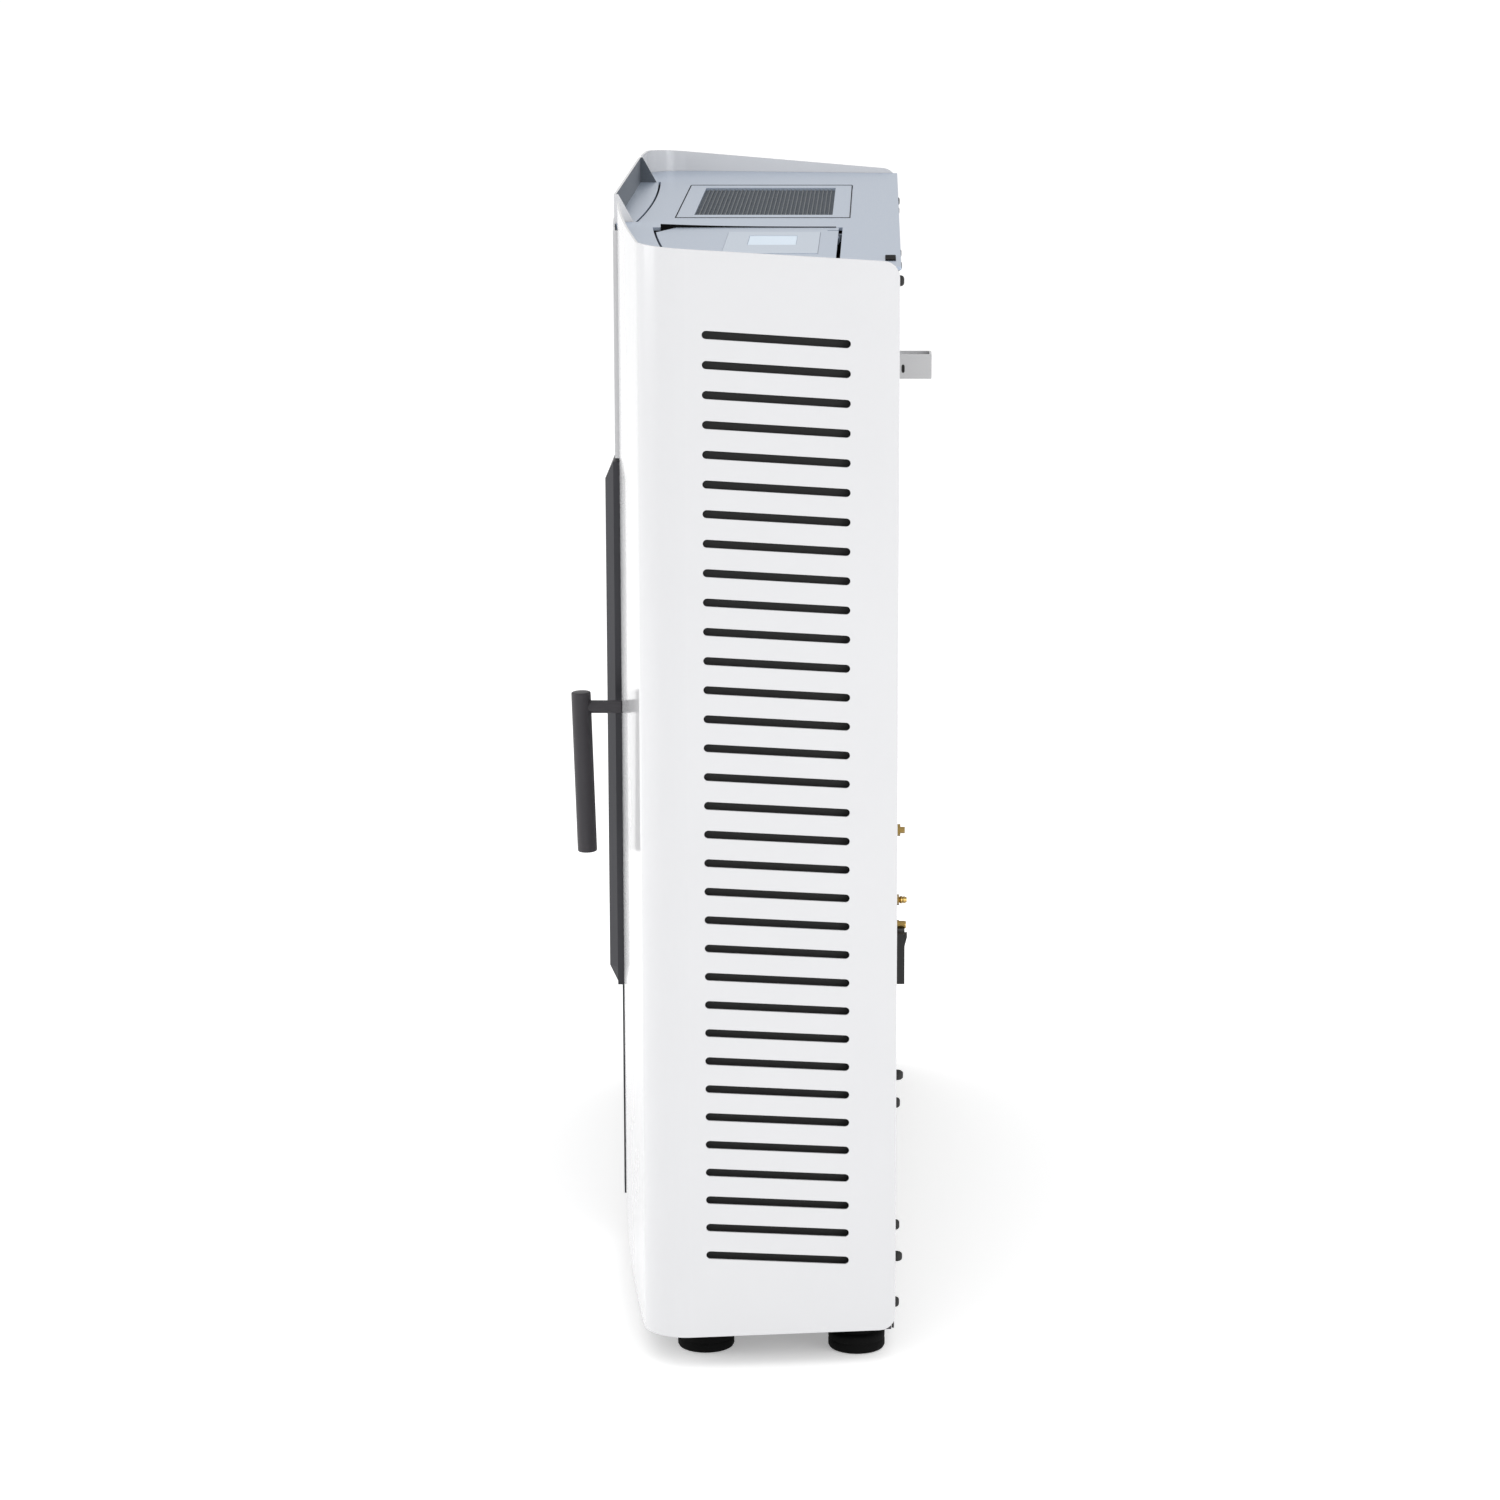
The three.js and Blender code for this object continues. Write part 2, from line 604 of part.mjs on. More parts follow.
function topPlate() {
  const sheet = raised(casingOutline(SHEET + GAP, PLATE_REAR_Y), PLATE_UNDER_Z, PLATE_TOP_Z);
  const [low, high] = [PLATE_UNDER_Z - 1, PLATE_TOP_Z + 1];
  const left = COLUMN_CENTRE - FLAP_HALF - 2;
  const right = COLUMN_CENTRE + FLAP_HALF + 2;
  const notch = outline([[left, -CASING_DEPTH - 20], ...flapRear(2), [right, -CASING_DEPTH - 20]]);
  const flapPin = rod(
    "x", FLAP_PIN_RADIUS + GAP, FLAP_WIDTH + 40,
    left - 18, FLAP_PIVOT_Y, FLAP_PIVOT_Z, 12,
  );
  const lidPin = rod(
    "x", LID_PIN_RADIUS + GAP, LID_PIN_X[1] - LID_PIN_X[0] + 20,
    LID_PIN_X[0] - 10, LID_PIVOT_Y, LID_PIVOT_Z, 12,
  );
  const opened = cut(
    sheet,
    raised(notch, low, high),
    box(GRILLE.x0 - 1, GRILLE.x1 + 1, GRILLE.y0 - 1, GRILLE.y1 + 1, low, high),
    raised(lidOutline(LID_GAP, LID_HINGE_GAP), low, high),
  );
  return cut(join(opened, ...plateEars()), flapPin, lidPin);
}
part("top_plate", "plateMetal", topPlate());

// ---------------------------------------------------------------- hot-air grille

const GRILLE_HOLE = {
  x0: GRILLE.x0 + GRILLE_BORDER_SIDE,
  x1: GRILLE.x1 - GRILLE_BORDER_SIDE,
  y0: GRILLE.y0 + GRILLE_BORDER_FRONT,
  y1: GRILLE.y1 - GRILLE_BORDER_FRONT,
};
const GRILLE_LIP_Z = PLATE_UNDER_Z - GAP;

function grilleFrame() {
  const { x0, x1, y0, y1 } = GRILLE;
  const hole = GRILLE_HOLE;
  const lip = 6;
  return cut(
    join(
      box(x0, x1, y0, y1, GRILLE_LIP_Z - SHEET, PLATE_TOP_Z),
      box(x0 - lip, x1 + lip, y0 - lip, y1 + lip, GRILLE_LIP_Z - SHEET, GRILLE_LIP_Z),
    ),
    box(hole.x0, hole.x1, hole.y0, hole.y1, GRILLE_LIP_Z - SHEET - 1, PLATE_TOP_Z + 1),
  );
}
part("grille_frame", "plateMetal", grilleFrame());

function grilleMesh() {
  const rim = 6;
  const half = 1;
  const topZ = GRILLE_LIP_Z - SHEET - GAP;
  const { x0, x1, y0, y1 } = GRILLE_HOLE;
  const sheet = box(x0 - rim, x1 + rim, y0 - rim, y1 + rim, topZ - 1.5, topZ);
  const xs = spaced(x0, x1, MESH_COLUMNS);
  const ys = spaced(y0, y1, MESH_ROWS);
  const openings = xs.slice(1).flatMap((right, i) =>
    ys.slice(1).map((rear, j) =>
      box(xs[i] + half, right - half, ys[j] + half, rear - half, topZ - 3, topZ + 1),
    ),
  );
  return cut(sheet, ...openings);
}
part("grille_mesh", "meshWire", grilleMesh());

// ---------------------------------------------------------------- front air flap

// A tilting trough: a floor with a bowed rear edge, a front wall and a gusset at each end.
function airFlap() {
  const left = COLUMN_CENTRE - FLAP_HALF;
  const right = COLUMN_CENTRE + FLAP_HALF;
  const floorZ = PLATE_TOP_Z - SHEET;
  const topZ = PLATE_TOP_Z + FLAP_WALL_HEIGHT;
  const wallRearY = FLAP_WALL_Y + SHEET;
  const lip = spaced(left, right, 8).map((x) => [x, Math.min(frontY(x, FLAP_LIP_INSET), FLAP_WALL_Y)]);
  const floor = raised(outline([...lip, ...flapRear(0).reverse()]), floorZ, PLATE_TOP_Z);
  const wall = box(left, right, FLAP_WALL_Y, wallRearY, floorZ, topZ);
  const gussets = [[left, left + SHEET], [right - SHEET, right]].map(([x0, x1]) => {
    const rearY = FLAP_WALL_Y + FLAP_FLOOR_DEPTH - 1;
    const side = outline([
      [FLAP_WALL_Y, floorZ],
      [rearY, floorZ],
      [wallRearY + 2, topZ],
      [FLAP_WALL_Y, topZ],
    ]);
    return stretched(side, x0, x1);
  });
  const knuckles = [-1, 1].map((sign) =>
    rod("x", 4.5, 14, COLUMN_CENTRE + sign * 150 - 7, FLAP_PIVOT_Y, FLAP_PIVOT_Z, 16),
  );
  const bore = rod("x", FLAP_PIN_RADIUS + GAP, FLAP_WIDTH, left, FLAP_PIVOT_Y, FLAP_PIVOT_Z, 16);
  return cut(join(floor, wall, ...gussets, ...knuckles), bore);
}
part("air_flap", "plateMetal", airFlap());

const flapPinLength = FLAP_WIDTH + 2 * (2.5 + FLAP_EAR + 1);
part(
  "flap_pin",
  "galvanised",
  rod(
    "x", FLAP_PIN_RADIUS, flapPinLength,
    COLUMN_CENTRE - flapPinLength / 2, FLAP_PIVOT_Y, FLAP_PIVOT_Z, 12,
  ),
);

// ---------------------------------------------------------------- upper front panel

const DOOR_TOP_Z = DOOR_BOTTOM_Z + DOOR_HEIGHT;
const FACE_LEFT = COLUMN_LEFT + SEAM / 2;
const FACE_RIGHT = COLUMN_RIGHT - SEAM / 2;
const FACE_XS = spaced(FACE_LEFT, FACE_RIGHT, 10);

// A bowed sheet of the column's width between two insets.
const bowedSheet = (outerInset, innerInset, z0, z1, xs = FACE_XS) =>
  slab(xs, [z0, z1], (x) => frontY(x, outerInset), (x) => frontY(x, innerInset));

function upperFrontPanel() {
  const bottomZ = DOOR_TOP_Z + SEAM;
  const topZ = PLATE_UNDER_Z - 0.5;
  const outer = -UPPER_PANEL_PROUD;
  const inner = outer + SHEET;
  const flanges = [[FACE_LEFT, FACE_LEFT + SHEET], [FACE_RIGHT - SHEET, FACE_RIGHT]].map((ends) =>
    bowedSheet(outer + 0.5, SHEET - GAP, bottomZ, topZ, ends),
  );
  const lowerFlange = bowedSheet(outer + 0.5, SHEET - GAP, bottomZ, bottomZ + SHEET);
  return join(bowedSheet(outer, inner, bottomZ, topZ), ...flanges, lowerFlange);
}
part("upper_front_panel", "whiteLacquer", upperFrontPanel());

// ---------------------------------------------------------------- door

const HINGE_X = FACE_LEFT + 12;
const HINGE_Y = DOOR_FRONT_Y + 12;
const HINGE_PLATE = SEAM - 2 * GAP;
const HINGE_PIN_LENGTH = 16;

const WINDOW = {
  x0: FACE_LEFT + DOOR_BORDER,
  x1: FACE_RIGHT - DOOR_BORDER,
  z0: DOOR_BOTTOM_Z + DOOR_BORDER,
  z1: DOOR_TOP_Z - DOOR_BORDER,
};
const REBATE = 8;
const FRONT_LIP = 4;

// A block that fills the door's window, grown by margin, from y0 to y1.
const windowBlock = (margin, y0, y1) =>
  box(WINDOW.x0 - margin, WINDOW.x1 + margin, y0, y1, WINDOW.z0 - margin, WINDOW.z1 + margin);

const pinHole = (z0, z1) => rod("z", HINGE_PIN_RADIUS + GAP, z1 - z0, HINGE_X, HINGE_Y, z0, 16);

function doorFrame() {
  const xs = [FACE_LEFT, FACE_LEFT + DOOR_BEVEL_SIDE, FACE_RIGHT - DOOR_BEVEL_SIDE, FACE_RIGHT];
  const zs = [
    DOOR_BOTTOM_Z,
    DOOR_BOTTOM_Z + DOOR_BEVEL_HEIGHT,
    DOOR_TOP_Z - DOOR_BEVEL_HEIGHT,
    DOOR_TOP_Z,
  ];
  const edgeY = DOOR_FRONT_Y + DOOR_BEVEL_DEPTH;
  const frontAt = (x, z) => (x === xs[0] || x === xs[3] || z === zs[0] || z === zs[3] ? edgeY : DOOR_FRONT_Y);
  return cut(
    slab(xs, zs, frontAt, () => DOOR_BACK_Y),
    windowBlock(0, DOOR_FRONT_Y - 1, DOOR_BACK_Y + 1),
    windowBlock(REBATE, DOOR_FRONT_Y + FRONT_LIP, DOOR_BACK_Y + 1),
    pinHole(DOOR_BOTTOM_Z - 1, DOOR_BOTTOM_Z + HINGE_PIN_LENGTH + 2),
    pinHole(DOOR_TOP_Z - HINGE_PIN_LENGTH - 2, DOOR_TOP_Z + 1),
  );
}
part("door_frame", "darkPaint", doorFrame());

const GLASS_Y = DOOR_FRONT_Y + FRONT_LIP + GAP;
part("door_glass", "glass", windowBlock(REBATE - 1, GLASS_Y, GLASS_Y + GLASS_THICKNESS));

// A square picture-frame ring seen from the front, from y0 to y1.
function frontRing(x0, x1, z0, z1, width, y0, y1) {
  return cut(
    box(x0, x1, y0, y1, z0, z1),
    box(x0 + width, x1 - width, y0 - 1, y1 + 1, z0 + width, z1 - width),
  );
}

const GASKET_MARGIN = 15;
const GASKET_WIDTH = 12;
part(
  "door_gasket",
  "gasket",
  frontRing(
    FACE_LEFT + GASKET_MARGIN, FACE_RIGHT - GASKET_MARGIN,
    DOOR_BOTTOM_Z + GASKET_MARGIN, DOOR_TOP_Z - GASKET_MARGIN,
    GASKET_WIDTH, DOOR_BACK_Y + GAP, DOOR_BACK_Y + GASKET - GAP,
  ),
);

// A hinge plate in the seam above or below the door, with the pin that enters the door.
function doorHinge(plateZ, up) {
  const tipZ = up > 0 ? plateZ + HINGE_PLATE : plateZ;
  const pinZ = up > 0 ? tipZ - 0.5 : tipZ - HINGE_PIN_LENGTH + 0.5;
  const left = FACE_LEFT;
  const plate = box(left, left + 20, HINGE_Y, FIREBOX_FRONT_Y - GAP, plateZ, plateZ + HINGE_PLATE);
  const nose = rod("z", 6, HINGE_PLATE, HINGE_X, HINGE_Y, plateZ, 16);
  const pin = rod("z", HINGE_PIN_RADIUS, HINGE_PIN_LENGTH, HINGE_X, HINGE_Y, pinZ, 16);
  return join(plate, nose, pin);
}
part("door_hinge_upper", "blackSteel", doorHinge(DOOR_TOP_Z + GAP, -1));
part("door_hinge_lower", "blackSteel", doorHinge(DOOR_BOTTOM_Z - GAP - HINGE_PLATE, 1));

// ---------------------------------------------------------------- handle and latch

const BAR_Y = frontY(HANDLE_X) - HANDLE_REACH;
const CAM_REAR_Y = FIREBOX_FRONT_Y - 1;
const CAM_THICKNESS = 4;

function handleBar() {
  const chamfer = 1;
  const geometry = new THREE.LatheGeometry(
    [
      new THREE.Vector2(0, 0),
      new THREE.Vector2(HANDLE_BAR_RADIUS - chamfer, 0),
      new THREE.Vector2(HANDLE_BAR_RADIUS, chamfer),
      new THREE.Vector2(HANDLE_BAR_RADIUS, HANDLE_BAR_LENGTH - chamfer),
      new THREE.Vector2(HANDLE_BAR_RADIUS - chamfer, HANDLE_BAR_LENGTH),
      new THREE.Vector2(0, HANDLE_BAR_LENGTH),
    ],
    24,
  );
  geometry.translate(0, HANDLE_ABOVE_PIVOT - HANDLE_BAR_LENGTH, 0);
  geometry.rotateX(Math.PI / 2 + HANDLE_LEAN);
  geometry.translate(HANDLE_X, BAR_Y, HANDLE_PIVOT_Z);
  return cut(solid(geometry), rod("y", SPINDLE_RADIUS + GAP, 30, HANDLE_X, BAR_Y - 2, HANDLE_PIVOT_Z));
}
part("handle_bar", "handleMetal", handleBar());

function handleSpindle() {
  const frontEnd = BAR_Y - 2 + GAP;
  const rearEnd = CAM_REAR_Y - CAM_THICKNESS - GAP;
  return rod("y", SPINDLE_RADIUS, rearEnd - frontEnd, HANDLE_X, frontEnd, HANDLE_PIVOT_Z);
}
part("handle_spindle", "handleMetal", handleSpindle());

// The latch cam inside the casing; its nose lies behind the door's free edge.
function latchCam() {
  const nose = FACE_RIGHT - 11;
  const lever = capsule(HANDLE_X, HANDLE_PIVOT_Z, nose + 6, HANDLE_PIVOT_Z, 6);
  const hub = rod("y", 10, CAM_THICKNESS, HANDLE_X, CAM_REAR_Y - CAM_THICKNESS, HANDLE_PIVOT_Z);
  return join(pushed(lever, CAM_REAR_Y - CAM_THICKNESS, CAM_REAR_Y), hub);
}
part("latch_cam", "galvanised", latchCam());

// ---------------------------------------------------------------- ash drawer

const DRAWER_TOP_Z = DOOR_BOTTOM_Z - SEAM;
const DRAWER_BOX = {
  x0: COLUMN_LEFT + 24,
  x1: COLUMN_RIGHT - 24,
  y0: FIREBOX_FRONT_Y - 3,
  y1: FIREBOX_BACK_Y - 23,
  z0: BASE_TOP_Z + 7,
  z1: DRAWER_TOP_Z - 68,
};
const DRAWER_SHEET = 1.5;

// The drawer's bowed front, a shallow pan open to the rear.
function drawerFront() {
  const backY = DRAWER_BOX.y0 - GAP;
  const inner = spaced(FACE_LEFT + SHEET, FACE_RIGHT - SHEET, 10);
  const skin = slab(
    FACE_XS, [DRAWER_FRONT_BOTTOM_Z, DRAWER_TOP_Z],
    (x) => frontY(x, -DRAWER_FRONT_PROUD), () => backY,
  );
  const pocket = slab(
    inner, [DRAWER_FRONT_BOTTOM_Z + SHEET, DRAWER_TOP_Z - SHEET],
    (x) => frontY(x, -DRAWER_FRONT_PROUD + SHEET), () => backY + 10,
  );
  return cut(skin, pocket);
}
part("ash_drawer_front", "darkPaint", drawerFront());

// An open-topped box of sheet.
function tray({ x0, x1, y0, y1, z0, z1 }, wall) {
  return cut(
    box(x0, x1, y0, y1, z0, z1),
    box(x0 + wall, x1 - wall, y0 + wall, y1 - wall, z0 + wall, z1 + 1),
  );
}
part("ash_drawer_box", "galvanised", tray(DRAWER_BOX, DRAWER_SHEET));

for (const [side, sign] of SIDES) {
  const wallX = sign > 0 ? DRAWER_BOX.x1 + 1 : DRAWER_BOX.x0 - 1;
  const outer = wallX + sign * SHEET;
  const inner = wallX - sign * 12;
  const [y0, y1] = [DRAWER_BOX.y0 + 8, DRAWER_BOX.y1 - 2];
  const span = (a, b, z0, z1) => box(Math.min(a, b), Math.max(a, b), y0, y1, z0, z1);
  const leg = span(wallX, outer, BASE_Z + SHEET + GAP, DRAWER_BOX.z0 + 24);
  const shelf = span(inner, outer, DRAWER_BOX.z0 - GAP - SHEET, DRAWER_BOX.z0 - GAP);
  part("drawer_runner_" + side, "galvanised", join(leg, shelf));
}

// ---------------------------------------------------------------- firebox

const FIREBOX = {
  x0: COLUMN_LEFT + FIREBOX_MARGIN,
  x1: COLUMN_RIGHT - FIREBOX_MARGIN,
  z0: DOOR_BOTTOM_Z + 5,
  z1: DOOR_TOP_Z - 5,
};
const POT = { width: 120, depth: 90, height: 60, wall: 4, y: -160 };
const POT_X0 = COLUMN_CENTRE - POT.width / 2;
const POT_X1 = COLUMN_CENTRE + POT.width / 2;
const POT_Y0 = POT.y - POT.depth / 2;
const POT_Y1 = POT.y + POT.depth / 2;
const POT_Z = FIREBOX.z0 + FIREBOX_WALL + GAP;
const IGNITER_RADIUS = 5;
const IGNITER_Z = POT_Z + 22;
const TUBE_RADIUS = AUGER_RADIUS + 0.6 + TUBE_WALL;
const DUCT = { y0: -98, y1: -82, z0: FIREBOX.z0 + 10, z1: FIREBOX.z0 + 50 };

function firebox() {
  const { x0, x1, z0, z1 } = FIREBOX;
  const wall = FIREBOX_WALL;
  const frontY0 = FIREBOX_FRONT_Y;
  const shell = cut(
    box(x0, x1, frontY0, FIREBOX_BACK_Y, z0, z1),
    box(x0 + wall, x1 - wall, frontY0 - 1, FIREBOX_BACK_Y - wall, z0 + wall, z1 - wall),
  );
  const flange = frontRing(x0 - 4, x1 + 4, z0 - 2, z1 + 2, 22, frontY0, frontY0 + wall);
  const ashSlot = (a, b) => box(a, b, POT_Y0 - 10, POT_Y1, z0 - 1, z0 + wall + 1);
  return cut(
    join(shell, flange),
    ashSlot(x0 + 50, POT_X0 - 25),
    ashSlot(POT_X1 + 25, x1 - 50),
    rod("z", 25, 20, COLUMN_CENTRE, POT.y, z0 - 5),
    rod("x", TUBE_RADIUS + 1, 30, x1 - 15, AUGER_Y, AUGER_Z),
    rod("y", IGNITER_RADIUS + 1, 30, COLUMN_CENTRE, FIREBOX_BACK_Y - 15, IGNITER_Z),
    box(x1 - 15, x1 + 15, DUCT.y0, DUCT.y1, DUCT.z0, DUCT.z1),
  );
}
part("firebox", "blackSteel", firebox());

const LINER_Z0 = IGNITER_Z + 45;
const LINER_FRONT_Y = FIREBOX_BACK_Y - FIREBOX_WALL - GAP - 14;
part(
  "firebox_back",
  "firebrick",
  box(
    FIREBOX.x0 + 8, FIREBOX.x1 - 8, LINER_FRONT_Y, FIREBOX_BACK_Y - FIREBOX_WALL - GAP,
    LINER_Z0, FIREBOX.z1 - 12,
  ),
);

function bafflePlate() {
  const rearY = LINER_FRONT_Y - 3;
  const frontEdgeY = FIREBOX_FRONT_Y + 40;
  const z = FIREBOX.z1 - 60;
  const side = outline([[rearY, z], [frontEdgeY, z + 36], [frontEdgeY, z + 42], [rearY, z + 6]]);
  return stretched(side, FIREBOX.x0 + 8, FIREBOX.x1 - 8);
}
part("baffle_plate", "firebrick", bafflePlate());

function burnPot() {
  const top = [POT_X0, POT_X1, POT_Y0, POT_Y1];
  const inset = (edges, d) => [edges[0] + d, edges[1] - d, edges[2] + d, edges[3] - d];
  const low = inset(top, 12);
  const topZ = POT_Z + POT.height;
  const floorZ = POT_Z + POT.wall;
  const cup = cut(
    frustum(low, POT_Z, top, topZ),
    frustum(inset(low, POT.wall), floorZ, inset(top, POT.wall), topZ + 1),
  );
  const airHoles = spaced(-30, 30, 3).flatMap((dx) =>
    [-18, 0, 18].map((dy) => rod("z", 4, 12, COLUMN_CENTRE + dx, POT.y + dy, POT_Z - 2, 8)),
  );
  const igniterHole = rod("y", IGNITER_RADIUS + 1, 40, COLUMN_CENTRE, POT_Y1 - 25, IGNITER_Z, 16);
  return cut(cup, ...airHoles, igniterHole);
}
part("burn_pot", "castIron", burnPot());
part(
  "igniter",
  "galvanised",
  rod("y", IGNITER_RADIUS, FIREBOX_BACK_Y + 20 - (POT_Y1 - 8), COLUMN_CENTRE, POT_Y1 - 8, IGNITER_Z, 16),
);

// ---------------------------------------------------------------- pellet feed

const HOPPER_RIGHT = sideX(0) - 16;
const HOPPER = {
  x0: COLUMN_RIGHT + 14,
  x1: HOPPER_RIGHT,
  y0: frontY(HOPPER_RIGHT) + HOPPER_FRONT_CLEARANCE,
  y1: -68,
};
const HOPPER_TOP_Z = PLATE_UNDER_Z - 8;
const NECK = { x0: 230, x1: 330, y0: AUGER_Y - 20, y1: AUGER_Y + 20 };
const SADDLE_Z = AUGER_Z + TUBE_RADIUS + 2;
const NECK_TOP_Z = SADDLE_Z + 22;
const TUBE_X0 = COLUMN_RIGHT - 26;
const TUBE_X1 = 392;

const edgesOf = ({ x0, x1, y0, y1 }, inset) => [x0 + inset, x1 - inset, y0 + inset, y1 - inset];

function hopperBody(inset, bottomZ, topZ) {
  const wide = edgesOf(HOPPER, inset);
  const narrow = edgesOf(NECK, inset);
  return join(
    box(...wide, HOPPER_KNEE_Z, topZ),
    frustum(narrow, NECK_TOP_Z, wide, HOPPER_KNEE_Z),
    box(...narrow, bottomZ, NECK_TOP_Z),
  );
}
part(
  "hopper",
  "galvanised",
  cut(hopperBody(0, SADDLE_Z + GAP, HOPPER_TOP_Z), hopperBody(HOPPER_SHEET, SADDLE_Z - 1, HOPPER_TOP_Z + 1)),
);

function augerTube() {
  const saddle = box(NECK.x0 - 2, NECK.x1 + 2, NECK.y0 - 2, NECK.y1 + 2, AUGER_Z + 6, SADDLE_Z);
  const mouth = box(...edgesOf(NECK, HOPPER_SHEET), AUGER_Z, SADDLE_Z + 1);
  const bore = rod("x", TUBE_RADIUS - TUBE_WALL, TUBE_X1 - TUBE_X0 + 2, TUBE_X0 - 1, AUGER_Y, AUGER_Z);
  const outside = rod("x", TUBE_RADIUS, TUBE_X1 - TUBE_X0, TUBE_X0, AUGER_Y, AUGER_Z);
  return cut(join(outside, saddle), bore, mouth);
}
part("auger_tube", "galvanised", augerTube());

// A screw flight: a square section swept round the shaft.
function flight(x0, x1, pitch, inner, outer, thickness) {
  const stepsPerTurn = 14;
  const steps = Math.round(((x1 - x0) / pitch) * stepsPerTurn);
  const points = [];
  for (let i = 0; i <= steps; i += 1) {
    const turn = (i / stepsPerTurn) * Math.PI * 2;
    const x = x0 + (i / steps) * (x1 - x0);
    for (const [radius, shift] of [[inner, 0], [outer, 0], [outer, thickness], [inner, thickness]]) {
      points.push(x + shift, radius * Math.cos(turn), radius * Math.sin(turn));
    }
  }
  const faces = [0, 1, 2, 0, 2, 3];
  for (let i = 0; i < steps; i += 1) {
    for (let corner = 0; corner < 4; corner += 1) {
      const next = (corner + 1) % 4;
      const [a, b] = [4 * i + corner, 4 * i + next];
      faces.push(a, b + 4, b, a, a + 4, b + 4);
    }
  }
  const end = 4 * steps;
  faces.push(end, end + 2, end + 1, end, end + 3, end + 2);
  const geometry = new THREE.BufferGeometry();
  geometry.setAttribute("position", new THREE.Float32BufferAttribute(points, 3));
  geometry.setIndex(faces);
  return geometry;
}

const SHAFT_RADIUS = 6;
function augerScrew() {
  const blade = flight(TUBE_X0 + 6, TUBE_X1 - 12, AUGER_PITCH, SHAFT_RADIUS - 1, AUGER_RADIUS, 3);
  const shaft = rod("x", SHAFT_RADIUS, TUBE_X1 + 3 - TUBE_X0, TUBE_X0, AUGER_Y, AUGER_Z, 16);
  return join(shaft, solid(blade.translate(0, AUGER_Y, AUGER_Z)));
}
part("auger_screw", "galvanised", augerScrew());

function augerMotor() {
  const x = TUBE_X1 + 3 + GAP;
  return join(
    box(x, x + 26, AUGER_Y - 30, AUGER_Y + 30, AUGER_Z - 34, AUGER_Z + 28),
    rod("x", 24, 24, x + 25, AUGER_Y, AUGER_Z - 4),
  );
}
part("auger_motor", "motor", augerMotor());

// The sloping trough that drops pellets from the auger tube into the burn pot.
function pelletChute() {
  const [highX, lowX] = [FIREBOX.x1 - FIREBOX_WALL - 1, POT_X1 - 28];
  const highZ = AUGER_Z - TUBE_RADIUS - GAP - 1;
  const lowZ = POT_Z + POT.height + 12;
  const run = (lift, end) =>
    outline([
      [lowX - end, lowZ + lift],
      [highX + end, highZ + lift],
      [highX + end, highZ + 34 + lift * end],
      [lowX - end, lowZ + 34 + lift * end],
    ]);
  const half = 26;
  const outside = cut(
    pushed(run(0, 0), AUGER_Y - half, AUGER_Y + half),
    rod("x", TUBE_RADIUS + 1, 60, TUBE_X0 - 1, AUGER_Y, AUGER_Z),
  );
  return cut(outside, pushed(run(SHEET, 2), AUGER_Y - half + SHEET, AUGER_Y + half - SHEET));
}
part("pellet_chute", "blackSteel", pelletChute());

// ---------------------------------------------------------------- hopper lid and display

const DISPLAY = {
  x0: DISPLAY_X - DISPLAY_WIDTH / 2,
  x1: DISPLAY_X + DISPLAY_WIDTH / 2,
  y0: DISPLAY_Y - DISPLAY_DEPTH / 2,
  y1: DISPLAY_Y + DISPLAY_DEPTH / 2,
};
const SCREEN = {
  x0: SCREEN_X - SCREEN_WIDTH / 2,
  x1: SCREEN_X + SCREEN_WIDTH / 2,
  y0: DISPLAY_Y - SCREEN_DEPTH / 2,
  y1: DISPLAY_Y + SCREEN_DEPTH / 2,
};
const DISPLAY_SHELF_Z = PLATE_TOP_Z - 1.7;

function hopperLid() {
  const frontLeftY = frontY(LID_LEFT, LID_FRONT_INSET);
  const notch = outline([
    [LID_LEFT - 1, frontLeftY + LID_NOTCH_DEPTH],
    [LID_LEFT - 1, frontLeftY - 4],
    [LID_LEFT + LID_NOTCH_WIDTH, frontLeftY - 4],
    [LID_LEFT + LID_NOTCH_WIDTH, frontY(LID_LEFT + LID_NOTCH_WIDTH, LID_FRONT_INSET) + 1],
  ]);
  const knuckles = LID_KNUCKLES.map((x) => rod("x", 4.5, 16, x, LID_PIVOT_Y, LID_PIVOT_Z, 16));
  const bore = rod(
    "x", LID_PIN_RADIUS + GAP, LID_PIN_X[1] - LID_PIN_X[0],
    LID_PIN_X[0], LID_PIVOT_Y, LID_PIVOT_Z, 16,
  );
  const earNotches = LID_PIN_X.map((x) =>
    box(x - 3, x + 3, LID_PIVOT_Y - 7, LID_REAR_Y + 1, PLATE_UNDER_Z - 1, PLATE_TOP_Z + 1),
  );
  return cut(
    join(raised(lidOutline(0, 0), PLATE_UNDER_Z, PLATE_TOP_Z), ...knuckles),
    raised(notch, PLATE_UNDER_Z - 1, PLATE_TOP_Z + 1),
    box(...edgesOf(DISPLAY, -GAP), DISPLAY_SHELF_Z, PLATE_TOP_Z + 1),
    box(...edgesOf(DISPLAY, 5), PLATE_UNDER_Z - 1, PLATE_TOP_Z),
    ...earNotches,
    bore,
  );
}
part("hopper_lid", "plateMetal", hopperLid());
part(
  "lid_hinge_pin",
  "galvanised",
  rod(
    "x", LID_PIN_RADIUS, LID_PIN_X[1] - LID_PIN_X[0] + 8,
    LID_PIN_X[0] - 4, LID_PIVOT_Y, LID_PIVOT_Z, 12,
  ),
);
part(
  "display_bezel",
  "display",
  cut(
    box(...edgesOf(DISPLAY, 0), DISPLAY_SHELF_Z + GAP, PLATE_TOP_Z + 0.4),
    box(...edgesOf(SCREEN, -GAP), PLATE_UNDER_Z, PLATE_TOP_Z + 1),
  ),
);
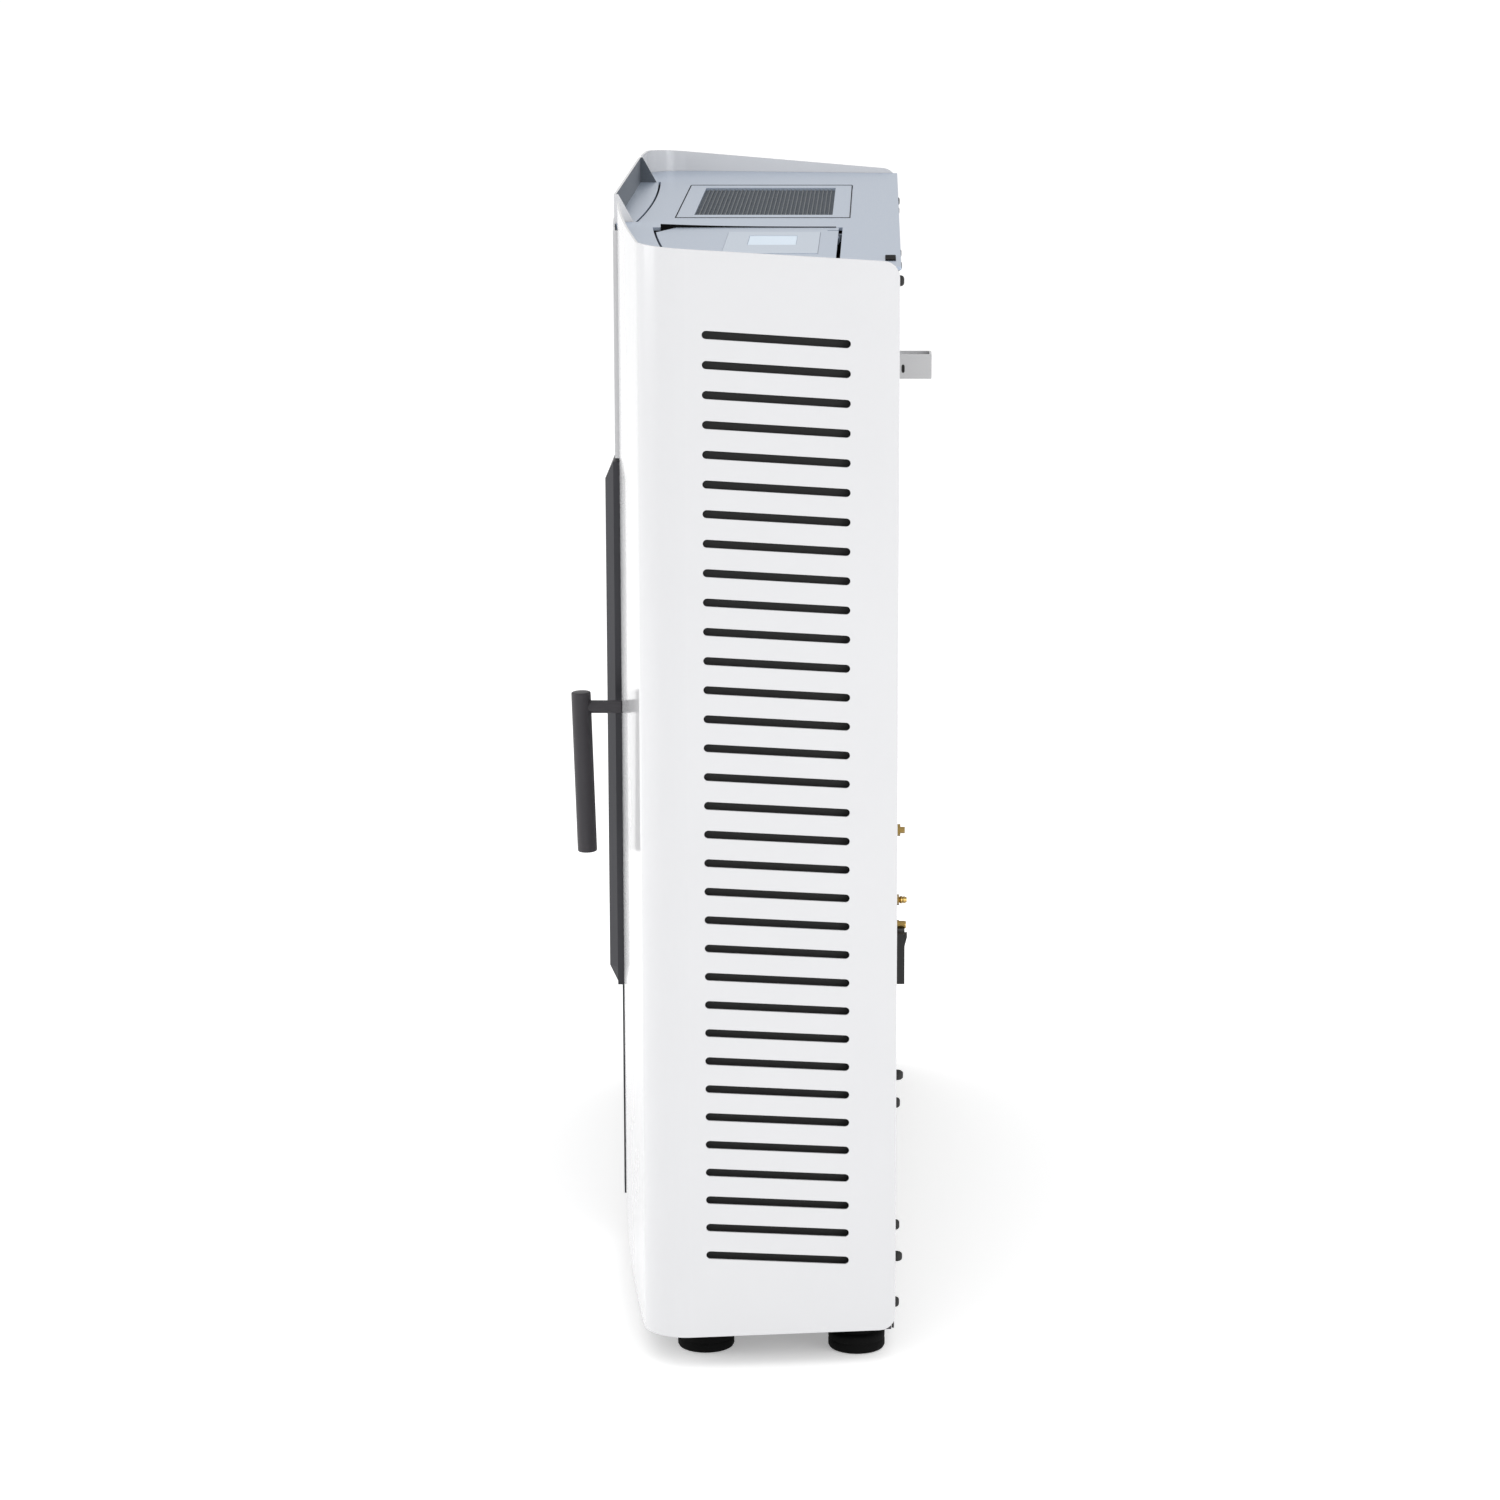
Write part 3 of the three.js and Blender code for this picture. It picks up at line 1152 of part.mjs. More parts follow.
part("display_screen", "screen", box(...edgesOf(SCREEN, 0), PLATE_UNDER_Z - 8, PLATE_TOP_Z + 0.1));

// ---------------------------------------------------------------- fans, flue and air intake

const DRUM = { radius: 68, y0: -104, y1: -54 };

function exhaustHousing() {
  const wall = 2;
  const { radius, y0, y1 } = DRUM;
  const rightX = FLUE_X + 20 - wall;
  const duct = (d) =>
    join(
      box(FIREBOX.x1 + GAP - d, rightX + d, DUCT.y0 - d, DUCT.y1, DUCT.z0 - d, DUCT.z1 + d),
      box(FLUE_X - 20 - d, rightX + d, DUCT.y0 - d, DUCT.y1, REAR_PIPE_Z, DUCT.z1 + d),
    );
  return cut(
    join(rod("y", radius, y1 - y0, FLUE_X, y0, REAR_PIPE_Z, 32), duct(wall)),
    rod("y", radius - wall, y1 - y0 - 2 * wall, FLUE_X, y0 + wall, REAR_PIPE_Z, 32),
    duct(0),
    rod("y", 9, 20, FLUE_X, y0 - 10, REAR_PIPE_Z, 16),
    rod("y", FLUE_RADIUS - 3, 20, FLUE_X, y1 - 10, REAR_PIPE_Z, 32),
    box(FIREBOX.x1 - 5, FIREBOX.x1 + GAP, DUCT.y0 - 10, DUCT.y1 + 10, DUCT.z0 - 10, DUCT.z1 + 10),
  );
}
part("exhaust_fan_housing", "galvanised", exhaustHousing());

// Flat blades set round an axis that runs along Y or X.
function bladed(axis, count, inner, outer, thickness, width, x, y, z) {
  return Array.from({ length: count }, (_, i) => {
    const geometry = new THREE.BoxGeometry(outer - inner, width, thickness);
    geometry.translate((outer + inner) / 2, width / 2, 0);
    geometry.rotateY((Math.PI * 2 * i) / count);
    if (axis === "x") geometry.rotateZ(-Math.PI / 2);
    return solid(geometry.translate(x, y, z));
  });
}

function exhaustImpeller() {
  const y = DRUM.y0 + 6;
  const disc = rod("y", 54, 2, FLUE_X, y, REAR_PIPE_Z, 24);
  const hub = rod("y", 9, 26, FLUE_X, y, REAR_PIPE_Z, 16);
  const shaft = rod("y", 5, 14, FLUE_X, DRUM.y0 - 4, REAR_PIPE_Z, 12);
  const blades = bladed("y", 8, 8, 54, 2, 26, FLUE_X, y + 1, REAR_PIPE_Z);
  return join(disc, hub, shaft, ...blades);
}
part("exhaust_impeller", "galvanised", exhaustImpeller());
part(
  "exhaust_motor",
  "motor",
  turned(
    [[0, 0], [14, 0], [14, 6], [33, 8], [33, 50], [0, 50]],
    "y", FLUE_X, DRUM.y0 - 55, REAR_PIPE_Z,
  ),
);
part(
  "flue_collar",
  "blackSteel",
  ring(
    "y", FLUE_RADIUS, FLUE_RADIUS - 2, REAR_PIPE_END_Y - DRUM.y1 - GAP,
    FLUE_X, DRUM.y1 + GAP, REAR_PIPE_Z, 32,
  ),
);
part(
  "air_inlet_pipe",
  "galvanised",
  ring("y", AIR_PIPE_RADIUS, AIR_PIPE_RADIUS - 2, REAR_PIPE_END_Y + 66, AIR_PIPE_X, -66, REAR_PIPE_Z),
);

const ROOM_FAN = { x0: COLUMN_CENTRE - 200, x1: COLUMN_CENTRE + 190, y: -50, z: BASE_TOP_Z + 29, radius: 27 };

// The cross-flow fan under the firebox's back, open below at the front and above at the rear.
function roomFanHousing() {
  const { x0, x1, y, z, radius } = ROOM_FAN;
  const cavity = radius + 5;
  const [y0, y1] = [y - cavity - 3, y + cavity + 3];
  const block = box(x0, x1, y0, y1, z - cavity + 4, z + 48);
  return cut(
    block,
    rod("x", cavity, x1 - x0 - 6, x0 + 3, y, z),
    box(x0 + 3, x1 - 3, y - 4, y + cavity, z, z + 60),
    box(x0 + 3, x1 - 3, y0 - 5, y, z - 14, z + 10),
    rod("x", 6, 30, x1 - 15, y, z, 16),
  );
}
part("room_fan_housing", "galvanised", roomFanHousing());

function roomFanRotor() {
  const { x0, x1, y, z, radius } = ROOM_FAN;
  const [left, right] = [x0 + 8, x1 - 8];
  const discs = [left, (left + right) / 2, right - 2].map((x) => rod("x", radius, 2, x, y, z));
  const blades = bladed("x", 14, radius - 9, radius - 0.5, 1.2, right - left - 1, left + 0.5, y, z);
  const shaft = rod("x", 4, x1 + 4 - left, left, y, z, 12);
  return join(shaft, ...discs, ...blades);
}
part("room_fan_rotor", "galvanised", roomFanRotor());
part("room_fan_motor", "motor", rod("x", 28, 46, ROOM_FAN.x1 + 4 + GAP, ROOM_FAN.y, ROOM_FAN.z));

// ---------------------------------------------------------------- electrics and rear fittings

function controlBoard() {
  const [x, y, z] = [370, -34, INLET_Z + 27];
  return join(
    box(x, x + 76, y, y + 2, z, z + 130),
    box(x + 8, x + 40, y - 22, y + 0.5, z + 10, z + 42),
    box(x + 48, x + 66, y - 14, y + 0.5, z + 14, z + 34),
    box(x + 10, x + 64, y - 8, y + 0.5, z + 100, z + 120),
    rod("y", 7, 20, x + 56, y - 18, z + 66, 12),
  );
}
part("control_board", "board", controlBoard());

const INLET_FACE_Y = INLET_PROUD - 0.5;
const SWITCH = { x: INLET_X, z: INLET_Z + 34, half: 8, width: 18 };

function mainsInlet() {
  const half = INLET_WIDTH / 2;
  const topZ = INLET_Z + INLET_HEIGHT;
  const flangeY = REAR_PANEL_Y + GAP;
  return cut(
    join(
      box(INLET_X - half, INLET_X + half, flangeY, INLET_FACE_Y, INLET_Z, topZ),
      box(INLET_X - half + 2, INLET_X + half - 2, -24, INLET_FACE_Y, INLET_Z + 3, topZ - 3),
    ),
    box(INLET_X - 11, INLET_X + 11, -10, INLET_PROUD, INLET_Z + 4, INLET_Z + 21),
    box(
      SWITCH.x - SWITCH.width / 2 - GAP, SWITCH.x + SWITCH.width / 2 + GAP,
      -6, INLET_PROUD, SWITCH.z - SWITCH.half - 1.2, SWITCH.z + SWITCH.half + 1.2,
    ),
  );
}
part("mains_inlet", "blackPlastic", mainsInlet());

function mainsSwitch() {
  const { x, z, half, width } = SWITCH;
  const side = outline([
    [-2, z - half + 2],
    [INLET_FACE_Y - 1, z - half],
    [INLET_FACE_Y + 0.2, z],
    [INLET_FACE_Y + 2.2, z + half],
    [-2, z + half - 2],
  ]);
  return stretched(side, x - width / 2, x + width / 2);
}
part("mains_switch", "blackPlastic", mainsSwitch());

const FITTING_Y = REAR_PANEL_Y + GAP;
part(
  "earth_stud",
  "brass",
  turned([[0, 0], [5.5, 0], [5.5, 4], [3, 4], [3, 8], [0, 8]], "y", INLET_X, FITTING_Y, INLET_Z + 138, 6),
);
part(
  "pressure_tap",
  "brass",
  turned(
    [[0, 0], [5, 0], [5, 3], [2.6, 3], [3.6, 5], [2.6, 7], [3.6, 7], [2.2, 10], [0, 10]],
    "y", INLET_X, FITTING_Y, INLET_Z + 74, 12,
  ),
);
part(
  "thermostat_reset",
  "brass",
  turned(
    [[0, 0], [4.5, 0], [4.5, 3], [3.6, 3], [3.6, 8.5], [3, 9.5], [0, 9.5]],
    "y", INLET_X, FITTING_Y, INLET_Z + 51, 12,
  ),
);

// The spacer that holds the stove to the wall: a channel with a closed face towards the wall.
function wallBracket() {
  const half = BRACKET_WIDTH / 2;
  const y0 = REAR_PANEL_Y + GAP;
  const topZ = BRACKET_Z + BRACKET_HEIGHT;
  const outside = box(-half, half, y0, BRACKET_REACH, BRACKET_Z, topZ);
  const inside = box(-half + SHEET, half - SHEET, y0 + SHEET, BRACKET_REACH - SHEET, BRACKET_Z - 1, topZ + 1);
  const screwHole = rod("y", 3, 12, 0, BRACKET_REACH - 6, BRACKET_Z + BRACKET_HEIGHT / 2, 16);
  const slotZ = BRACKET_Z + 7;
  const keySlot = stretched(capsule(y0 + 6, slotZ, y0 + 6, slotZ + 5, 1.5), 0, half + 1);
  return cut(outside, inside, screwHole, keySlot);
}
part("wall_bracket", "whiteLacquer", wallBracket());

// ---------------------------------------------------------------- the part's own frame

const reach = new THREE.Box3().setFromObject(stove);
const centre = reach.getCenter(new THREE.Vector3());
stove.position.set(-centre.x, -centre.y, -reach.min.z);

export default stove;
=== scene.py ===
import json
import math

import bmesh
import bpy
from mathutils import Matrix, Vector


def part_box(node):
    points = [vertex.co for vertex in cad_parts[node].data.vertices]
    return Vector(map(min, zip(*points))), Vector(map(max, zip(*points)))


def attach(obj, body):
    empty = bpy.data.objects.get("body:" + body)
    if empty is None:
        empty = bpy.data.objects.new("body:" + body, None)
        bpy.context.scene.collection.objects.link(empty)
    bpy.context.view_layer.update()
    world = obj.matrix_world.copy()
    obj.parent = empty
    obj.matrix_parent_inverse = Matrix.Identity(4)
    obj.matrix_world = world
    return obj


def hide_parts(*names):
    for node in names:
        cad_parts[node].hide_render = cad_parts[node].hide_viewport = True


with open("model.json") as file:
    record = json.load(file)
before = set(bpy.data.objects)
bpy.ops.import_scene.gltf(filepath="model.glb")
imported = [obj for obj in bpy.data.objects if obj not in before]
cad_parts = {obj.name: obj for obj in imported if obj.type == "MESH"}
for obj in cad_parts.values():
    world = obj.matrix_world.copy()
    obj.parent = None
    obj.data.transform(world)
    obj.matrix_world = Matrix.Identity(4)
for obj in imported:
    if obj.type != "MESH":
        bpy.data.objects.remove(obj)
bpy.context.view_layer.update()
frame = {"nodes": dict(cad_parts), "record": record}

MM = 0.001
# The rear panel's back face lies this far inside the casing's rear edge.
PANEL_SETBACK = 1
nodes = frame["nodes"]
rear_low, rear_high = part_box("rear_panel")
# The casing's own frame: x = 0 in the middle of the rear panel, y = 0 at the casing's rear edge.
SHIFT = Vector(((rear_low[0] + rear_high[0]) / 2, rear_high[1] + PANEL_SETBACK * MM, 0))


def at(x, y, z=0.0):
    """A point given in millimetres in the casing's own frame, in the row frame in metres."""
    return Vector((x * MM, y * MM, z * MM)) + SHIFT


# ---------------------------------------------------------------- materials

WAVE_DISTORTION = 1.5
NOISE_DETAIL = 4


def texture_output(tree, kind, scale, stretch):
    """The output of a procedural texture laid over the object's own coordinates."""
    coordinates = tree.nodes.new("ShaderNodeTexCoord")
    mapping = tree.nodes.new("ShaderNodeMapping")
    mapping.inputs["Scale"].default_value = stretch
    tree.links.new(coordinates.outputs["Object"], mapping.inputs["Vector"])
    if kind == "voronoi":
        texture = tree.nodes.new("ShaderNodeTexVoronoi")
        output = texture.outputs["Color"]
    elif kind == "wave":
        texture = tree.nodes.new("ShaderNodeTexWave")
        texture.inputs["Distortion"].default_value = WAVE_DISTORTION
        output = texture.outputs["Fac"]
    else:
        texture = tree.nodes.new("ShaderNodeTexNoise")
        texture.inputs["Detail"].default_value = NOISE_DETAIL
        output = texture.outputs["Fac"]
    texture.inputs["Scale"].default_value = scale
    tree.links.new(mapping.outputs["Vector"], texture.inputs["Vector"])
    return output


def node_material(name, base, tint, roughness, metallic=0.0, pattern="noise", scale=40.0,
                  stretch=(1, 1, 1), bump=0.0, bump_scale=400.0, bump_stretch=(1, 1, 1), **sockets):
    """A Principled material whose colour, roughness and bump follow procedural patterns."""
    made = bpy.data.materials.new(name)
    made.use_nodes = True
    tree = made.node_tree
    shader = tree.nodes["Principled BSDF"]
    shader.inputs["Metallic"].default_value = metallic
    for socket, value in sockets.items():
        shader.inputs[socket.replace("_", " ")].default_value = value

    variation = texture_output(tree, pattern, scale, stretch)
    colour = tree.nodes.new("ShaderNodeMix")
    colour.data_type = "RGBA"
    colour.inputs["A"].default_value = (*base, 1)
    colour.inputs["B"].default_value = (*tint, 1)
    tree.links.new(variation, colour.inputs["Factor"])
    tree.links.new(colour.outputs["Result"], shader.inputs["Base Color"])
    spread = tree.nodes.new("ShaderNodeMapRange")
    spread.inputs["To Min"].default_value = roughness[0]
    spread.inputs["To Max"].default_value = roughness[1]
    tree.links.new(variation, spread.inputs["Value"])
    tree.links.new(spread.outputs["Result"], shader.inputs["Roughness"])
    if bump:
        relief = tree.nodes.new("ShaderNodeBump")
        relief.inputs["Strength"].default_value = 1
        relief.inputs["Distance"].default_value = bump * MM
        kind = "wave" if pattern == "wave" else "noise"
        height = texture_output(tree, kind, bump_scale, bump_stretch)
        tree.links.new(height, relief.inputs["Height"])
        tree.links.new(relief.outputs["Normal"], shader.inputs["Normal"])
    return made


def grey(value, blue=0.0):
    return (value, value, value * (1 + blue))


# For each slot: two colours and two roughnesses to vary between, then what differs from plain.
LOOK_SETTINGS = {
    "white_lacquer": dict(
        base=(0.572, 0.574, 0.586), tint=(0.592, 0.594, 0.606), roughness=(0.16, 0.24),
        scale=14, bump=0.004, bump_scale=260, Coat_Weight=0.35, Coat_Roughness=0.06),
    "slate_metal": dict(
        base=(0.075, 0.088, 0.105), tint=(0.10, 0.115, 0.135), roughness=(0.36, 0.5),
        metallic=0.3, scale=60, stretch=(18, 1, 18), bump=0.006, bump_scale=500),
    "plate_metal": dict(
        base=(0.370, 0.430, 0.525), tint=(0.420, 0.485, 0.585), roughness=(0.26, 0.38),
        metallic=0.45, scale=60, stretch=(1, 18, 18), bump=0.006, bump_scale=500,
        bump_stretch=(1, 12, 12)),
    "dark_paint": dict(
        base=(0.018, 0.018, 0.023), tint=(0.028, 0.028, 0.034), roughness=(0.40, 0.52),
        metallic=0.2, scale=30, bump=0.02, bump_scale=900),
    "black_steel": dict(
        base=grey(0.013), tint=grey(0.024), roughness=(0.5, 0.66), metallic=0.3,
        scale=35, bump=0.03, bump_scale=700),
    "handle_metal": dict(
        base=(0.026, 0.024, 0.028), tint=(0.038, 0.035, 0.040), roughness=(0.36, 0.5),
        metallic=0.35, scale=45, bump=0.015, bump_scale=1100),
    "rubber": dict(
        base=grey(0.001), tint=grey(0.003), roughness=(0.7, 0.9), Specular_IOR_Level=0.12,
        scale=70, bump=0.06, bump_scale=500),
    "galvanised": dict(
        base=(0.40, 0.42, 0.44), tint=(0.52, 0.54, 0.56), roughness=(0.3, 0.5), metallic=0.85,
        pattern="voronoi", scale=90, bump=0.008, bump_scale=200),
    "cast_iron": dict(
        base=(0.022, 0.021, 0.019), tint=(0.05, 0.046, 0.04), roughness=(0.55, 0.85),
        metallic=0.5, scale=60, bump=0.22, bump_scale=380),
    "firebrick": dict(
        base=(0.40, 0.34, 0.25), tint=(0.62, 0.55, 0.42), roughness=(0.85, 1.0),
        pattern="voronoi", scale=220, bump=0.35, bump_scale=260),
    "glass": dict(
        base=(0.018, 0.019, 0.022), tint=(0.026, 0.027, 0.031), roughness=(0.03, 0.06), scale=6,
        Transmission_Weight=0.3, IOR=1.47),
    "gasket": dict(
        base=grey(0.035), tint=grey(0.085), roughness=(0.85, 1.0), pattern="wave", scale=160,
        bump=0.8, bump_scale=160),
    "mesh_wire": dict(
        base=(0.065, 0.076, 0.090), tint=(0.098, 0.113, 0.132), roughness=(0.4, 0.55),
        metallic=0.6, scale=80, bump=0.01, bump_scale=900),
    "display": dict(
        base=(0.46, 0.52, 0.60), tint=(0.50, 0.56, 0.64), roughness=(0.30, 0.40), metallic=0.3,
        scale=8, Specular_IOR_Level=0.3),
    "screen": dict(
        base=(0.46, 0.53, 0.60), tint=(0.54, 0.61, 0.69), roughness=(0.35, 0.45), scale=18,
        Specular_IOR_Level=0.2, Emission_Color=(0.74, 0.88, 1.0, 1), Emission_Strength=0.14),
    "brass": dict(
        base=(0.33, 0.22, 0.07), tint=(0.45, 0.31, 0.11), roughness=(0.22, 0.38), metallic=1.0,
        scale=120, bump=0.01, bump_scale=900),
    "black_plastic": dict(
        base=grey(0.010), tint=grey(0.018), roughness=(0.38, 0.52), scale=60,
        bump=0.02, bump_scale=1400),
    "motor": dict(
        base=grey(0.14, 0.05), tint=grey(0.19, 0.05), roughness=(0.35, 0.55), metallic=0.6,
        scale=50, bump=0.02, bump_scale=700),
    "board": dict(
        base=(0.010, 0.075, 0.032), tint=(0.02, 0.12, 0.05), roughness=(0.3, 0.5),
        pattern="voronoi", scale=260, bump=0.02, bump_scale=600),
}
LOOKS = {name: node_material(name, **settings) for name, settings in LOOK_SETTINGS.items()}

BEVEL_SEGMENTS = 2
SHARP_ANGLE = 35


def smooth(obj, bevel=0.0, angle=SHARP_ANGLE):
    """Softens an object's edges and shades its curves smooth, keeping its flats flat."""
    for polygon in obj.data.polygons:
        polygon.use_smooth = True
    if bevel:
        edge = obj.modifiers.new("edge", "BEVEL")
        edge.width = bevel * MM
        edge.segments = BEVEL_SEGMENTS
        edge.limit_method = "ANGLE"
        edge.angle_limit = math.radians(angle)
    else:
        obj.data.set_sharp_from_angle(angle=math.radians(angle))
    weighted = obj.modifiers.new("normals", "WEIGHTED_NORMAL")
    weighted.keep_sharp = True
    return obj


SLOT_OF = {entry["node"]: entry["material_slot"] for entry in frame["record"]["subparts"]}
# The width in millimetres of the soft edge on the CAD pieces that have one.
EDGES = {
    "top_plate": 0.4, "hopper_lid": 0.4, "grille_frame": 0.4, "air_flap": 0.3,
    "upper_front_panel": 0.6, "door_frame": 0.9, "ash_drawer_front": 0.6, "display_bezel": 0.3,
    "mains_inlet": 0.5, "mains_switch": 0.4, "wall_bracket": 0.9, "rear_panel": 0.3,
    "auger_motor": 1.0, "firebox_back": 1.5, "baffle_plate": 1.0,
}
for node_name, node in nodes.items():
    node.data.materials.clear()
    node.data.materials.append(LOOKS[SLOT_OF[node_name]])
    smooth(node, EDGES.get(node_name, 0.0))


# ---------------------------------------------------------------- mesh tools

TINY = 1e-9
FINE_SEGMENTS = 64
PLAIN_SEGMENTS = 48
SMALL_SEGMENTS = 32
BACK_AXIS = (0, 1, 0)
BOX_FACES = [(0, 1, 3, 2), (4, 6, 7, 5), (0, 2, 6, 4), (1, 5, 7, 3), (0, 4, 5, 1), (2, 3, 7, 6)]


def closed_mesh(name, vertices, faces):
    """A mesh of the given vertices and faces, with its normals turned outwards."""
    mesh = bpy.data.meshes.new(name)
    mesh.from_pydata([tuple(v) for v in vertices], [], faces)
    build = bmesh.new()
    build.from_mesh(mesh)
    bmesh.ops.recalc_face_normals(build, faces=build.faces)
    build.to_mesh(mesh)
    build.free()
    return mesh


def piece(name, vertices, faces, slot_name, body="casing", stands_for=()):
    """A new piece in one slot's look, which rides with a body and may stand for CAD nodes."""
    mesh = closed_mesh(name, vertices, faces)
    obj = bpy.data.objects.new(name, mesh)
    bpy.context.scene.collection.objects.link(obj)
    mesh.materials.append(LOOKS[slot_name])
    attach(obj, body)
    if stands_for:
        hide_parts(*stands_for)
    return obj


def strip_faces(count):
    """Faces of a closed strip with four vertices at each of its sections."""
    faces = []
    for i in range(count - 1):
        a, b = 4 * i, 4 * (i + 1)
        faces += [(a, b, b + 1, a + 1), (a + 2, a + 3, b + 3, b + 2)]
        faces += [(a + 1, b + 1, b + 3, a + 3), (a, a + 2, b + 2, b)]
    last = 4 * (count - 1)
    faces += [(0, 1, 3, 2), (last, last + 2, last + 3, last + 1)]
    return faces


def lathe(profile, frame_matrix, segments=PLAIN_SEGMENTS):
    """Vertices and faces of a profile of (radius, height) pairs turned round a frame's Z."""
    vertices, faces = [], []
    rings = []
    for radius, height in profile:
        if radius < TINY:
            rings.append([len(vertices)])
            vertices.append(frame_matrix @ Vector((0, 0, height * MM)))
            continue
        ring = []
        for i in range(segments):
            turn = 2 * math.pi * i / segments
            ring.append(len(vertices))
            point = Vector((radius * math.cos(turn) * MM, radius * math.sin(turn) * MM, height * MM))
            vertices.append(frame_matrix @ point)
        rings.append(ring)
    for low, high in zip(rings, rings[1:]):
        for i in range(segments):
            j = (i + 1) % segments
            corners = [low[i % len(low)], low[j % len(low)], high[j % len(high)], high[i % len(high)]]
            unique = list(dict.fromkeys(corners))
            if len(unique) > 2:
                faces.append(unique)
    return vertices, faces


def axis_frame(origin, direction):
    """A frame at origin whose Z runs along direction."""
    turn = Vector(direction).to_track_quat("Z", "Y").to_matrix().to_4x4()
    return Matrix.Translation(origin) @ turn


def cut_out(obj, cutter_vertices, cutter_faces):
    """Cuts the cutter's shape out of the object and keeps the result as its own mesh."""
    cutter = bpy.data.objects.new("cutter", closed_mesh("cutter", cutter_vertices, cutter_faces))
    bpy.context.scene.collection.objects.link(cutter)
    boolean = obj.modifiers.new("cut", "BOOLEAN")
    boolean.solver = "EXACT"
    boolean.object = cutter
    graph = bpy.context.evaluated_depsgraph_get()
    done = bpy.data.meshes.new_from_object(obj.evaluated_get(graph))
    obj.modifiers.clear()
    obj.data = done
    bpy.data.objects.remove(cutter)


# ---------------------------------------------------------------- the casing's plan, in mm

REAR_HALF_WIDTH = 460
SIDE_TAPER = math.radians(7.8)
CASING_DEPTH = 266
FRONT_RADIUS = 4650
CREST = Vector((-200, FRONT_RADIUS - CASING_DEPTH))
CORNER_RADIUS = 38
CORNER_STEPS = 22
BOW_STEP = 25
SHEET = 2
BASE_Z = 29
PLATE_TOP_Z = 958
RIM_REAR_Z = PLATE_TOP_Z + 4
RIM_SLOPE = math.radians(4.2)
REAR_CORNER = 13
REAR_CORNER_STEPS = 6
COLUMN_LEFT = -400
COLUMN_RIGHT = 118
COLUMN_CENTRE = (COLUMN_LEFT + COLUMN_RIGHT) / 2
SEAM = 3
HANDLE_X = COLUMN_RIGHT + 33
HANDLE_Z = 520
HANDLE_REACH = 37.5


def front_y(x, inset=0.0):
    """The bowed front's place at x."""
    radius = FRONT_RADIUS - inset
    return CREST.y - math.sqrt(radius * radius - (x - CREST.x) ** 2)


def side_x(y, inset=0.0):
    """How far the tapered side stands from the middle at y."""
    return REAR_HALF_WIDTH - y * math.tan(SIDE_TAPER) - inset / math.cos(SIDE_TAPER)


def wall_path(side, inset, end_x):
    """Plan points of one wall from its rear edge along the flat side, round the corner, to the bow."""
    along = Vector((side * math.sin(SIDE_TAPER), -math.cos(SIDE_TAPER)))
    out = Vector((side * math.cos(SIDE_TAPER), math.sin(SIDE_TAPER)))
    start = Vector((side * REAR_HALF_WIDTH, 0)) - out * CORNER_RADIUS
    # The corner's centre lies where the side's parallel meets the bow's parallel.
    reach = start - CREST
    b = reach.dot(along)
    c = reach.length_squared - (FRONT_RADIUS - CORNER_RADIUS) ** 2
    centre = start + along * (-b + math.sqrt(b * b - c))
    bow = (centre - CREST).normalized()
    radius = CORNER_RADIUS - inset
    first = math.atan2(out.y, out.x)
    sweep = -side * math.acos(out.dot(bow))
    points = []
    for i in range(REAR_CORNER_STEPS + 1):
        depth = REAR_CORNER * (1 - math.cos(math.pi / 2 * i / REAR_CORNER_STEPS))
        points.append(Vector((side * side_x(-depth, inset), -depth)))
    for i in range(CORNER_STEPS + 1):
        turn = first + sweep * i / CORNER_STEPS
        points.append(centre + Vector((math.cos(turn), math.sin(turn))) * radius)
    begin = points[-1].x
    runs = max(3, round(abs(end_x - begin) / BOW_STEP))
    for i in range(1, runs + 1):
        x = begin + (end_x - begin) * i / runs
        points.append(Vector((x, front_y(x, inset))))
    return points


def rim_z(y):
    """The height of the side panels' rim, which rises towards the front."""
    return RIM_REAR_Z - y * math.tan(RIM_SLOPE)


def corner_loss(y):
    """How much the rounded rear corners take off the height at y."""
    distance = min(REAR_CORNER, -y)
    return REAR_CORNER - math.sqrt(REAR_CORNER ** 2 - (REAR_CORNER - distance) ** 2)


# ---------------------------------------------------------------- side panels

SLOT_COUNT = 33
SLOT_PITCH = 25
SLOT_RADIUS = 3.4
SLOT_END_STEPS = 10
SLOT_RUN = 118
SLOT_SLOPE = math.radians(4.6)
FIRST_SLOT_Z = PLATE_TOP_Z - 63.5
SLOT_REAR_Y = -44.5
CUTTER_INSIDE = 30
CUTTER_OUTSIDE = 120
SPINDLE_HOLE_RADIUS = 7
SPINDLE_HOLE_LEAD = 10
SPINDLE_HOLE_LENGTH = 30
PANEL_EDGE = 0.45
PANEL_ANGLE = 40


